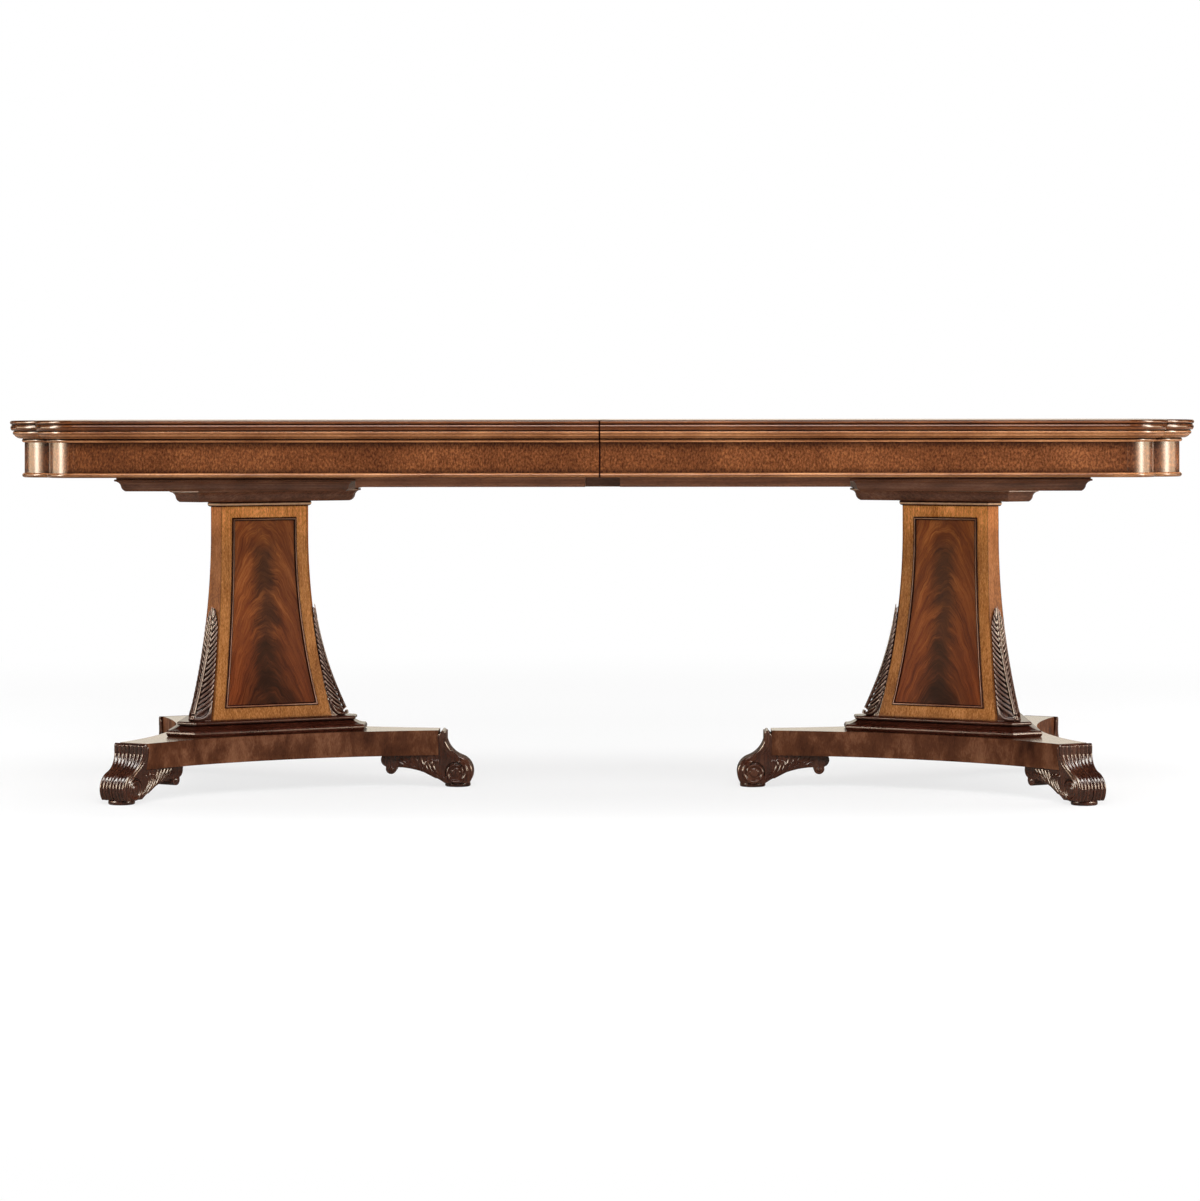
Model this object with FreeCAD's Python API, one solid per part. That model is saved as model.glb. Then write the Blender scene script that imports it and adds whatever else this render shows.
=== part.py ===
# Twin pedestal extending dining table in mahogany, closed, in millimetres.
# X runs along the table, Y across it and Z up. The origin is on the floor at the table's centre.
# The right half is modelled and mirrored in the seam, so each piece is drawn once.
import FreeCAD
import Part
import math
import os

# Overall sizes of the closed table
table_length = 2316.0
table_width = 1219.0
table_height = 762.0

# Clearances that several pieces share
seam_gap = 0.6
slide_gap = 0.4
hole_gap = 0.15
cut_overrun = 10.0
same_point = 1e-6

# Top panel, whose corners are two lobes that meet in a cusp
panel_thickness = 30.0
lobe_radius = 57.0

# Reeded edge moulding round the top panel
edge_height = 42.5
edge_projection = 28.5
edge_bead_height = 7.6
edge_bead_projection = 5.2
ovolo_height = 6.5
ovolo_bulge = 2.4
reed_projection_shares = (0.81, 0.97, 1.0)
reed_height_shares = (0.31, 0.42, 0.27)
reed_bulge = 3.0

# Apron under the top, with a bead along its lower edge
frieze_height = 59.5
apron_thickness = 22.0
bead_height = 9.0
bead_projection = 4.6

# Cross bearers under the top panel
bearer_thickness = 32.0
bearer_width = 70.0
seam_bearer_distance = 150.0

# Extension slides: outer runners on each half and a centre runner between them
runner_spacing = 500.0
runner_thickness = 40.0
runner_show = 24.0
runner_end_gap = 70.0
runner_chamfer = 6.0
centre_runner_thickness = 34.0
centre_runner_clear = 16.0
tongue_height = 16.0
tongue_depth = 12.0
tongue_flare = 3.0

# Bearing plate that carries the runners on each pedestal
plate_length = 482.0
plate_width = 600.0
plate_thickness = 24.0
plate_notch = 16.0
plate_moulding = 20.0
moulding_lip = 3.5
moulding_quirk = 1.0
ogee_run_shares = (0.27, 0.43, 0.62)
ogee_rise_shares = (0.2, 0.57, 0.84)

# Plate bolts
bolt_diameter = 8.0
bolt_head_diameter = 16.0
bolt_head_height = 5.0
bolt_head_gap = 1.0
bolt_sink = 7.0
bolt_bite = 36.0
bolt_inset = 60.0

# Pedestal cap and neck
pedestal_setback = 420.0
cap_thickness = 24.0
cap_face = 126.5
cap_corner = 208.0
cap_moulding = 19.0
neck_height = 11.0
neck_projection = 6.5

# Three-sided flared column with canted corners
column_top_face = 71.0
column_top_corner = 119.0
column_foot_face = 113.4
column_foot_corner = 172.2
column_straight_share = 0.12
column_wall = 24.0

# Veneered panels on the column faces and the bead round each one
panel_border = 24.0
panel_bead_width = 6.0
panel_bead_proud = 2.5
panel_pocket = 4.0

# Carved leaf on each canted corner
leaf_height = 231.0
leaf_foot_thickness = 31.0
leaf_tip_thickness = 5.0
leaf_edge_thickness = 3.0
leaf_level_shares = (0, 0.15, 0.35, 0.6, 0.8, 1)
leaf_width_share = 0.92
leaf_tip_share = 0.16
leaflet_count = 8
leaflet_depth = 3.0
midrib_width = 7.0
midrib_proud = 2.5

# Plinth moulding between the column and the platform
plinth_height = 30.0
plinth_face = 128.0
plinth_corner = 217.0
plinth_spread = 20.0
plinth_bead_height = 7.5
plinth_band_height = 13.0
plinth_quirk = 3.0
plinth_hollow_share = 1 / 3

# Platform with three arms and hollowed sides
platform_thickness = 51.5
platform_waist = 162.0
arm_reach = 393.0
arm_width = 68.0

# Scroll feet
foot_height = 67.0
foot_width = 74.0
foot_tail = 116.0
foot_lip = 12.0
lip_round = 3.2
lip_notch = 9.0
neck_hollow_share = 0.38
shoulder_share = 0.8
volute_radius = 31.5
volute_reach = 36.0
volute_height = 30.5
bud_radius = 10.4
bud_height = 38.0
bud_reach = 98.0
tail_height = 42.0
reed_count = 8
reed_gap = 1.4
arch_share = 0.75
eye_radius = 8.0
eye_proud = 3.0
volute_groove = 5.0
volute_groove_depth = 3.0
volute_band_share = 0.72

# Round soles under the feet
sole_diameter = 53.0
sole_height = 9.0
sole_reach = 38.5
sole_round = 3.0

# Tie rod through each pedestal
rod_diameter = 12.0
nut_diameter = 20.0
nut_height = 10.0
washer_diameter = 40.0
washer_thickness = 3.0
rod_recess_depth = 18.0
rod_recess_diameter = 46.0

# Dowels that line the halves up at the seam
dowel_diameter = 10.0
dowel_bite = 28.0
dowel_reach = 18.0
dowel_inset = 130.0
dowel_row_shares = (1 / 3, 1)

# Lever locks that hold the halves together
lock_inset = 151.0
lock_plate_length = 64.0
lock_plate_width = 44.0
lock_plate_thickness = 3.0
pivot_setback = 45.0
pivot_diameter = 8.0
pivot_head_diameter = 13.0
pivot_head_height = 2.5
lever_thickness = 4.0
lever_clearance = 1.0
lever_width = 22.0
lever_head_width = 30.0
lever_hook = 16.0
lever_tail = 34.0
stud_setback = 45.0
stud_diameter = 8.0
stud_gap = 0.5

# Levels above the floor
panel_under = table_height - panel_thickness
edge_under = table_height - edge_height
bead_top = edge_under - frieze_height
apron_under = bead_top - bead_height
bearer_under = panel_under - bearer_thickness
runner_under = apron_under - runner_show
plate_top = runner_under + plate_notch
plate_under = plate_top - plate_thickness
cap_under = plate_under - cap_thickness
neck_under = cap_under - neck_height
platform_top = foot_height + platform_thickness
plinth_top = platform_top + plinth_height

# Half sizes of the frieze outline
frieze_x = table_length / 2 - edge_projection
frieze_y = table_width / 2 - edge_projection
seam_x = seam_gap / 2
lobe_start_x = frieze_x - 2 * lobe_radius
lobe_start_y = frieze_y - 2 * lobe_radius
cusp_x = frieze_x - lobe_radius
cusp_y = frieze_y - lobe_radius

# Places along the table
pedestal_x = table_length / 2 - pedestal_setback
plate_inner_x = pedestal_x - plate_length / 2
plate_outer_x = pedestal_x + plate_length / 2
runner_start_x = runner_end_gap / 2
runner_outer_y = runner_spacing / 2 + runner_thickness / 2
runner_inner_y = runner_spacing / 2 - runner_thickness / 2
runner_groove_z = (runner_under + bearer_under) / 2

# Directions of the pedestal's arms and of its column's faces, in degrees
arm_angles = (180.0, 60.0, 300.0)
face_angles = (0.0, 120.0, 240.0)
quarter_turn = 90.0
sixth_turn = 60.0

up = FreeCAD.Vector(0, 0, 1)
origin = FreeCAD.Vector(0, 0, 0)
seam_normal = FreeCAD.Vector(1, 0, 0)


def vec(x, y, z):
    return FreeCAD.Vector(x, y, z)


def section_point(n, z):
    """A point of a section drawn in the XZ plane."""
    return vec(n, 0, z)


def plan_point(x, y):
    """A point of an outline drawn on the floor."""
    return vec(x, y, 0)


def end_of(step):
    """The point that a step leads to."""
    return step[1] if isinstance(step[0], tuple) else step


def across_point(y, z):
    """A point of a section drawn across the table."""
    return vec(0, y, z)


def edges_along(start, steps, place):
    """Edges from start through the steps: a point is a straight run, a pair of points is an arc."""
    edges = []
    here = start
    for step in steps:
        end = end_of(step)
        if isinstance(step[0], tuple):
            edges.append(Part.Arc(place(*here), place(*step[0]), place(*end)).toShape())
        else:
            edges.append(Part.LineSegment(place(*here), place(*end)).toShape())
        here = end
    return edges


def filled(start, steps, place):
    """A flat face bounded by the steps, which are closed with a straight run if they end elsewhere."""
    last = end_of(steps[-1])
    closing = [] if math.dist(last, start) < same_point else [start]
    return Part.Face(Part.Wire(edges_along(start, list(steps) + closing, place)))


def box(x0, x1, y0, y1, z0, z1):
    """A block between two corners."""
    return Part.makeBox(x1 - x0, y1 - y0, z1 - z0, vec(x0, y0, z0))


def rod(diameter, height, at, direction=up):
    return Part.makeCylinder(diameter / 2, height, at, direction)


def turned(shape, angle):
    """A copy turned about the vertical axis through the origin."""
    copy = shape.copy()
    copy.rotate(origin, up, angle)
    return copy


def moved(shape, x, y, z):
    copy = shape.copy()
    copy.translate(vec(x, y, z))
    return copy


def flipped(shape):
    """A copy on the other side of the table's long centre line."""
    return shape.mirror(origin, vec(0, 1, 0))


def joined(shapes):
    """The shapes made into one solid."""
    return shapes[0].multiFuse(shapes[1:]).removeSplitter()


def group(solids):
    """Separate solids that share one node."""
    return Part.makeCompound(solids)


# Blocks with a moulded section on several upright faces

def face_prism(angle, start, steps, reach):
    """All that lies behind one upright face, whose section runs upward from start."""
    back = [start] + list(steps) + [(-reach, end_of(steps[-1])[1])]
    section = filled((-reach, start[1]), back, section_point)
    prism = moved(section, 0, -reach, 0).extrude(vec(0, 2 * reach, 0))
    return turned(prism, angle)


def block_between(faces, reach):
    """The solid behind every face of the list, each given as an angle, a start and steps."""
    prisms = [face_prism(angle, start, steps, reach) for angle, start, steps in faces]
    solid = prisms[0]
    for prism in prisms[1:]:
        solid = solid.common(prism)
    return solid.removeSplitter()


def three_sided(section, face, corner, reach):
    """A moulded block with three main faces and three canted corners."""
    faces = []
    for angle in face_angles:
        faces.append((angle,) + section(face))
    for angle in arm_angles:
        faces.append((angle,) + section(corner))
    return block_between(faces, reach)


def ogee_section(distance, under, top, spread):
    """An ogee that spreads upward from the lower edge to a square lip: round below and hollow above."""
    lip_under = top - moulding_lip
    edge = distance + spread
    quirk = edge - moulding_quirk
    points = []
    for run, rise in zip(ogee_run_shares, ogee_rise_shares):
        points.append((distance + (quirk - distance) * run, under + (lip_under - under) * rise))
    swell, knee, hollow = points
    return (distance, under), [(swell, knee), (hollow, (quirk, lip_under)), (edge, lip_under), (edge, top)]


# Top of the table

def edge_section():
    """Section of the edge, from the frieze outward: a bead, a shallow ovolo and three reeds."""
    bead_over = edge_under + edge_bead_height
    ovolo_top = bead_over + ovolo_height
    reeds_height = table_height - ovolo_top
    first_reed = edge_projection * reed_projection_shares[0] - reed_bulge
    run = first_reed - edge_bead_projection
    slope = math.hypot(run, ovolo_height)
    middle_n = edge_bead_projection + run / 2 + ovolo_bulge * ovolo_height / slope
    middle_z = bead_over + ovolo_height / 2 - ovolo_bulge * run / slope
    bead_root = edge_bead_projection / 2
    nose = (edge_bead_projection, edge_under + edge_bead_height / 2)
    steps = [(bead_root, edge_under), (nose, (bead_root, bead_over)), (edge_bead_projection, bead_over)]
    steps.append(((middle_n, middle_z), (first_reed, ovolo_top)))
    low = ovolo_top
    for projection, height in zip(reed_projection_shares, reed_height_shares):
        high = low + reeds_height * height
        base = edge_projection * projection - reed_bulge
        if low > ovolo_top:
            steps.append((base, low))
        steps.append(((base + reed_bulge, (low + high) / 2), (base, high)))
        low = high
    steps.append((0, table_height))
    return (0, edge_under), steps


def bead_section():
    """Section of the half-round bead on the apron's lower edge."""
    start = (0, apron_under)
    return start, [((bead_projection, apron_under + bead_height / 2), (0, bead_top))]


def mitre_wedge():
    """All that lies on the end's side of the front corner's mitre."""
    over = edge_projection + cut_overrun
    reach = frieze_y + over
    outer = (frieze_x + over, -frieze_y - over)
    inner = (frieze_x - reach, -frieze_y + reach)
    wedge = filled(outer, [(frieze_x + over, -frieze_y + reach), inner], plan_point)
    return wedge.extrude(up * (table_height + cut_overrun))


def moulding_runs(section):
    """Front, end and rear lengths of a moulding that follows the frieze, mitred at the cusps."""
    start, steps = section
    wedge = mitre_wedge()

    def front_place(n, z):
        return vec(seam_x, -frieze_y - n, z)

    def lobe_place(n, z):
        return vec(cusp_x, -cusp_y - n, z)

    def end_place(n, z):
        return vec(frieze_x + n, -lobe_start_y, z)

    front = filled(start, steps, front_place).extrude(vec(lobe_start_x - seam_x, 0, 0))
    turn = moved(filled(start, steps, front_place), lobe_start_x - seam_x, 0, 0)
    front_lobe = turn.revolve(vec(lobe_start_x, -cusp_y, 0), up, quarter_turn)
    front_run = joined([front, front_lobe]).cut(wedge)
    end = filled(start, steps, end_place).extrude(vec(0, 2 * lobe_start_y, 0))
    lobe_centre = vec(cusp_x, -lobe_start_y, 0)
    end_lobe = filled(start, steps, lobe_place).revolve(lobe_centre, up, quarter_turn).common(wedge)
    end_run = joined([end, end_lobe, flipped(end_lobe)])
    return front_run, end_run, flipped(front_run)


def lobe_middle(centre_x, centre_y, sign):
    """The middle of a lobe's quarter circle."""
    half = math.sqrt(2) / 2
    return centre_x + lobe_radius * half, sign * (centre_y + lobe_radius * half)


def corner_steps(sign):
    """From the long side to the end round the two lobes of a corner."""
    first = lobe_middle(lobe_start_x, cusp_y, sign)
    second = lobe_middle(cusp_x, lobe_start_y, sign)
    return [(first, (cusp_x, sign * cusp_y)), (second, (frieze_x, sign * lobe_start_y))]


def corner_steps_back(sign):
    """The same corner from the end to the long side."""
    first = lobe_middle(lobe_start_x, cusp_y, sign)
    second = lobe_middle(cusp_x, lobe_start_y, sign)
    return [(second, (cusp_x, sign * cusp_y)), (first, (lobe_start_x, sign * frieze_y))]


def dowel_places():
    inset_y = frieze_y - dowel_inset
    return [sign * inset_y * share for sign in (-1, 1) for share in dowel_row_shares]


def dowel_level():
    return panel_under + panel_thickness / 2


def top_panel():
    steps = [(lobe_start_x, -frieze_y)] + corner_steps(-1) + [(frieze_x, lobe_start_y)]
    steps += corner_steps_back(1) + [(seam_x, frieze_y)]
    panel = moved(filled((seam_x, -frieze_y), steps, plan_point), 0, 0, panel_under)
    return panel.extrude(up * panel_thickness)


def dowel_holes(panel, side, depth, gap):
    """The panel with a row of dowel holes in its seam face."""
    for y in dowel_places():
        mouth = vec(side * (seam_x - cut_overrun), y, dowel_level())
        hole = rod(dowel_diameter + 2 * gap, depth + cut_overrun, mouth, vec(side, 0, 0))
        panel = panel.cut(hole)
    return panel


def long_apron():
    """The straight apron along the front of one half."""
    return box(seam_x, lobe_start_x, -frieze_y, -frieze_y + apron_thickness, apron_under, panel_under)


def end_apron():
    return box(frieze_x - apron_thickness, frieze_x, -lobe_start_y, lobe_start_y, apron_under, panel_under)


def corner_block():
    """The shaped block behind a corner's two lobes, at the front."""
    start = (lobe_start_x, -frieze_y)
    steps = corner_steps(-1) + [(lobe_start_x, -lobe_start_y)]
    plan = moved(filled(start, steps, plan_point), 0, 0, apron_under)
    return plan.extrude(up * (panel_under - apron_under))


def bearers():
    """Three battens across the half, which tie the top to the runners."""
    inside_y = frieze_y - apron_thickness
    starts = (seam_bearer_distance, plate_inner_x, plate_outer_x - bearer_width)
    return [box(x, x + bearer_width, -inside_y, inside_y, bearer_under, panel_under) for x in starts]


# Extension slides

def tongue_face(gap):
    """Dovetail section of the slide, in the plane across the table, pointing to the front."""
    root = tongue_height / 2 + gap
    tip = root + tongue_flare
    root_y = -runner_inner_y + slide_gap
    tip_y = -runner_inner_y - tongue_depth + slide_gap - gap
    start = (root_y, runner_groove_z - root)
    steps = [(tip_y, runner_groove_z - tip), (tip_y, runner_groove_z + tip), (root_y, runner_groove_z + root)]
    return filled(start, steps, across_point)


def bolt_places():
    """Where the plate bolts stand, two under each runner."""
    xs = (plate_inner_x + bolt_inset, plate_outer_x - bolt_inset)
    return [(x, sign * runner_spacing / 2) for x in xs for sign in (-1, 1)]


def outer_runner():
    """The front runner of one half, notched over the bearing plate."""
    body = box(runner_start_x, plate_outer_x, -runner_outer_y, -runner_inner_y, runner_under, bearer_under)
    notch = box(plate_inner_x, plate_outer_x + cut_overrun, -runner_outer_y - cut_overrun,
                -runner_inner_y + cut_overrun, runner_under - cut_overrun, plate_top)
    groove = tongue_face(slide_gap).extrude(vec(plate_inner_x - slide_gap, 0, 0))
    front_y = -runner_outer_y
    bevel_steps = [(front_y + runner_chamfer, runner_under), (front_y, runner_under + runner_chamfer)]
    bevel = filled((front_y, runner_under), bevel_steps, across_point)
    body = body.cut(notch).cut(groove).cut(bevel.extrude(vec(plate_outer_x, 0, 0)))
    for x, y in bolt_places():
        if y < 0:
            body = body.cut(rod(bolt_diameter + 2 * hole_gap, bolt_bite + hole_gap, vec(x, y, plate_top)))
    return body


def centre_runner():
    """The front centre runner, whose dovetail tongue slides in both outer runners."""
    half = plate_inner_x - centre_runner_clear
    inner_y = -runner_inner_y + slide_gap
    bar = box(-half, half, inner_y, inner_y + centre_runner_thickness, runner_under, bearer_under - slide_gap)
    tongue = moved(tongue_face(0), -half, 0, 0).extrude(vec(2 * half, 0, 0))
    return joined([bar, tongue])


# Bearing plate, cap and neck of the pedestal

def bearing_plate():
    """The plate on top of the pedestal, with an ogee on all four edges and sunk bolt holes."""
    half_x = plate_length / 2 - plate_moulding
    half_y = plate_width / 2 - plate_moulding
    faces = []
    for index, half in enumerate((half_x, half_y, half_x, half_y)):
        faces.append((index * quarter_turn,) + ogee_section(half, plate_under, plate_top, plate_moulding))
    plate = moved(block_between(faces, plate_length + plate_width), pedestal_x, 0, 0)
    for x, y in bolt_places():
        foot = vec(x, y, plate_under - cut_overrun)
        plate = plate.cut(rod(bolt_diameter + 2 * hole_gap, plate_thickness + 2 * cut_overrun, foot))
        plate = plate.cut(rod(bolt_head_diameter + 2 * bolt_head_gap, bolt_sink + cut_overrun, foot))
    return plate.cut(moved(rod_hole(), pedestal_x, 0, 0))


def plate_bolts():
    """The bolts up through the plate into the runners, with their heads sunk in its underside."""
    bolts = []
    seat = plate_under + bolt_sink
    for x, y in bolt_places():
        head = rod(bolt_head_diameter, bolt_head_height, vec(x, y, seat - bolt_head_height))
        shank = rod(bolt_diameter, plate_top - seat + bolt_bite, vec(x, y, seat))
        bolts.append(joined([head, shank]))
    return group(bolts)


def rod_hole():
    """The hole that every pedestal piece has for the tie rod."""
    return rod(rod_diameter + 2 * hole_gap, table_height, origin)


def pedestal_cap():
    def section(distance):
        return ogee_section(distance, cap_under, plate_under, cap_moulding)

    reach = cap_corner + cap_face + 2 * cap_moulding
    return three_sided(section, cap_face, cap_corner, reach).cut(rod_hole())


def neck():
    """The small half-round that caps the column."""
    def section(distance):
        nose = (distance + neck_projection, neck_under + neck_height / 2)
        return (distance, neck_under), [(nose, (distance, cap_under))]

    reach = column_top_corner + column_top_face + neck_projection * 2
    return three_sided(section, column_top_face, column_top_corner, reach).cut(rod_hole())


# Column

def flare_steps(top, foot, shift):
    """Section of a flared face, moved outward by shift: a hollow curve and a straight top."""
    straight_z = neck_under - (neck_under - plinth_top) * column_straight_share
    rise = straight_z - plinth_top
    spread = foot - top
    radius = (rise * rise + spread * spread) / (2 * spread)
    middle = top + radius - math.sqrt(radius * radius - rise * rise / 4)
    steps = [((middle + shift, plinth_top + rise / 2), (top + shift, straight_z)), (top + shift, neck_under)]
    return (foot + shift, plinth_top), steps


def flare_at(top, foot, z):
    """How far a flared face stands from the axis at a level."""
    straight_z = neck_under - (neck_under - plinth_top) * column_straight_share
    rise = straight_z - plinth_top
    spread = foot - top
    radius = (rise * rise + spread * spread) / (2 * spread)
    fall = max(straight_z - z, 0)
    return top + radius - math.sqrt(radius * radius - fall * fall)


def column_block(shift):
    faces = []
    for angle in face_angles:
        faces.append((angle,) + flare_steps(column_top_face, column_foot_face, shift))
    for angle in arm_angles:
        faces.append((angle,) + flare_steps(column_top_corner, column_foot_corner, shift))
    return block_between(faces, 2 * column_foot_corner + column_foot_face)


def half_face(z):
    """Half the width of a main column face at a level."""
    face = flare_at(column_top_face, column_foot_face, z)
    corner = flare_at(column_top_corner, column_foot_corner, z)
    return (2 * corner - face) / math.sqrt(3)


def half_corner(z):
    """Half the width of a canted corner at a level."""
    face = flare_at(column_top_face, column_foot_face, z)
    corner = flare_at(column_top_corner, column_foot_corner, z)
    return (2 * face - corner) / math.sqrt(3)


def panel_outline(inset):
    """A column panel's outline, looking along X, that much inside the panel's border."""
    border = panel_border + inset
    low = plinth_top + border
    high = neck_under - border
    middle = (low + high) / 2
    low_w, mid_w, high_w = [half_face(z) - border for z in (low, middle, high)]
    steps = [(low_w, low), ((mid_w, middle), (high_w, high))]
    steps += [(-high_w, high), ((-mid_w, middle), (-low_w, low))]
    outline = filled((-low_w, low), steps, across_point)
    return outline.extrude(vec(column_foot_corner + column_foot_face, 0, 0))


def face_slab(low, high):
    """A curved slab along a main face, between two distances from it."""
    outer_start, outer_steps = flare_steps(column_top_face, column_foot_face, high)
    inner_start, inner_steps = flare_steps(column_top_face, column_foot_face, low)
    reach = column_foot_corner + column_foot_face
    outer = face_prism(0, outer_start, outer_steps, reach)
    inner = face_prism(0, inner_start, inner_steps, reach + cut_overrun)
    return outer.cut(inner)


def panel_pieces():
    """One veneered panel, the bead round it and the pocket that holds both."""
    pocket = panel_outline(0).common(face_slab(-panel_pocket, 2 * panel_bead_proud))
    veneer = panel_outline(panel_bead_width).common(face_slab(-panel_pocket, 0))
    bead = panel_outline(0).common(face_slab(-panel_pocket, panel_bead_proud))
    bead = bead.cut(panel_outline(panel_bead_width))
    return veneer, bead, pocket


def column_carcass(pocket):
    """The hollow column, with a pocket in each main face."""
    carcass = column_block(0).cut(column_block(-column_wall))
    for angle in face_angles:
        carcass = carcass.cut(turned(pocket, angle))
    return carcass


def leaf_outline():
    """Scalloped outline of a corner leaf, looking along X, from its foot up one side and down the other."""
    rise = leaf_height * (1 - leaf_tip_share) / leaflet_count
    nodes = []
    for index in range(leaflet_count + 1):
        z = plinth_top + index * rise
        taper = math.sqrt(1 - index / (leaflet_count + 1))
        nodes.append((half_corner(z) * leaf_width_share * taper, z))
    bulges = [(width + leaflet_depth, z + rise * 2 / 3) for width, z in nodes[:-1]]
    steps = list(zip(bulges, nodes[1:]))
    steps.append((0, plinth_top + leaf_height))
    steps.append((-nodes[-1][0], nodes[-1][1]))
    for bulge, node in reversed(list(zip(bulges, nodes))):
        steps.append(((-bulge[0], bulge[1]), (-node[0], node[1])))
    return filled(nodes[0], steps, across_point)


def leaf_swell(extra):
    """The room that the leaf fills on a canted corner: a ridge that is thick at the foot, thin at the tip."""
    sections = []
    for share in leaf_level_shares:
        z = plinth_top + leaf_height * share
        corner = flare_at(column_top_corner, column_foot_corner, z)
        half = half_corner(z)
        swell = (leaf_foot_thickness - leaf_tip_thickness) * (1 - share) ** 2
        ridge = vec(corner + leaf_tip_thickness + swell + extra, 0, z)
        edge_x = corner + leaf_edge_thickness + extra
        back_x = corner - leaf_edge_thickness
        front = [vec(back_x, -half, z), vec(edge_x, -half, z), ridge]
        rest = [vec(edge_x, half, z), vec(back_x, half, z), vec(back_x, -half, z)]
        sections.append(Part.makePolygon(front + rest))
    start, steps = flare_steps(column_top_corner, column_foot_corner, 0)
    column_side = face_prism(0, start, steps, column_foot_corner + column_foot_face)
    return Part.makeLoft(sections, True).cut(column_side)


def corner_leaf():
    """The carved leaf on a canted corner: a scalloped blade that swells to a raised midrib."""
    reach = vec(column_foot_corner + column_foot_face, 0, 0)
    blade = leaf_outline().extrude(reach).common(leaf_swell(0))
    rib_half = midrib_width / 2
    rib_top = plinth_top + leaf_height * (1 - leaf_tip_share)
    rib_steps = [(rib_half, plinth_top), (0, rib_top)]
    rib = filled((-rib_half, plinth_top), rib_steps, across_point).extrude(reach)
    return joined([blade, rib.common(leaf_swell(midrib_proud))])


# Plinth, platform and feet

def plinth():
    """The stepped moulding on which the column and its leaves stand."""
    def section(distance):
        band_top = platform_top + plinth_band_height
        bead_under = plinth_top - plinth_bead_height
        spread = distance + plinth_spread
        hollow_z = band_top + (bead_under - band_top) * plinth_hollow_share
        hollow = (distance + plinth_spread * plinth_hollow_share, hollow_z)
        nose = (spread + plinth_quirk, platform_top + plinth_band_height / 2)
        bead_nose = (distance + plinth_quirk, plinth_top - plinth_bead_height / 2)
        steps = [(nose, (spread, band_top)), (spread - plinth_quirk, band_top)]
        steps += [(hollow, (distance - plinth_quirk, bead_under)), (distance, bead_under)]
        steps.append((bead_nose, (distance, plinth_top)))
        return (spread, platform_top), steps

    reach = plinth_face + plinth_corner + 2 * plinth_spread
    return three_sided(section, plinth_face, plinth_corner, reach).cut(rod_hole())


def turned_point(x, y, angle):
    c = math.cos(math.radians(angle))
    s = math.sin(math.radians(angle))
    return x * c - y * s, x * s + y * c


def platform():
    """The three-armed base with hollowed sides and a recess for the rod's nut."""
    half = arm_width / 2
    start = turned_point(arm_reach, -half, arm_angles[2])
    steps = []
    for side in face_angles:
        waist = turned_point(platform_waist, 0, side)
        steps.append(turned_point(arm_reach, half, side - sixth_turn))
        steps.append((waist, turned_point(arm_reach, -half, side + sixth_turn)))
    base = moved(filled(start, steps, plan_point), 0, 0, foot_height)
    base = base.extrude(up * platform_thickness)
    recess = rod(rod_recess_diameter, rod_recess_depth + cut_overrun, vec(0, 0, foot_height - cut_overrun))
    return base.cut(rod_hole()).cut(recess)


def foot_front():
    """The front line of a foot, from its lip down to the sole: start and steps."""
    lip_x = arm_reach + foot_lip
    centre_x = arm_reach + volute_reach

    def on_volute(turn):
        return centre_x + volute_radius * math.cos(turn), volute_height + volute_radius * math.sin(turn)

    shoulder_turn = math.radians(quarter_turn) * shoulder_share
    under_turn = -math.asin((volute_height - sole_height) / volute_radius)
    shoulder = on_volute(shoulder_turn)
    neck_z = (platform_top + shoulder[1]) / 2 + volute_radius / 4
    hollow_x = lip_x + (shoulder[0] - lip_x) * neck_hollow_share
    hollow_z = shoulder[1] + (neck_z - shoulder[1]) * neck_hollow_share
    steps = [(lip_x, neck_z), ((hollow_x, hollow_z), shoulder)]
    steps.append((on_volute(shoulder_turn / 2), on_volute(0)))
    steps.append((on_volute(under_turn / 2), on_volute(under_turn)))
    return (lip_x, platform_top - lip_round), steps


def foot_side():
    """The whole side outline of a foot, whose tail lies under the arm and whose front stands before it."""
    start, steps = foot_front()
    centre_x = arm_reach + volute_reach
    tail_x = arm_reach - foot_tail
    bud_x = arm_reach - bud_reach
    heel_x = centre_x - math.sqrt(volute_radius ** 2 - (volute_height - sole_height) ** 2)
    tail_start = bud_x + bud_radius
    arch = (tail_start + (heel_x - tail_start) / 2, sole_height + (tail_height - sole_height) * arch_share)
    steps = steps + [(heel_x, sole_height), (arch, (tail_start, tail_height))]
    steps.append(((bud_x, bud_height - bud_radius), (bud_x - bud_radius, bud_height + bud_radius / 2)))
    knuckle = (tail_x - bud_radius / 3, (bud_height + foot_height) / 2 + bud_radius / 3)
    steps.append((knuckle, (tail_x, foot_height)))
    lip_back = (start[0] - 2 * lip_round, start[1])
    steps += [(arm_reach, foot_height), (arm_reach, platform_top - lip_notch), lip_back]
    steps.append(((start[0] - lip_round, platform_top), start))
    return start, steps


def reed_tube(y, radius):
    """A half-buried tube down the front line of a foot."""
    start, steps = foot_front()
    path = Part.Wire(edges_along(start, steps, lambda x, z: vec(x, y, z)))
    circle = Part.Wire(Part.Circle(vec(start[0], y, start[1]), up, radius).toShape())
    return path.makePipeShell([circle], True, False)


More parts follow.
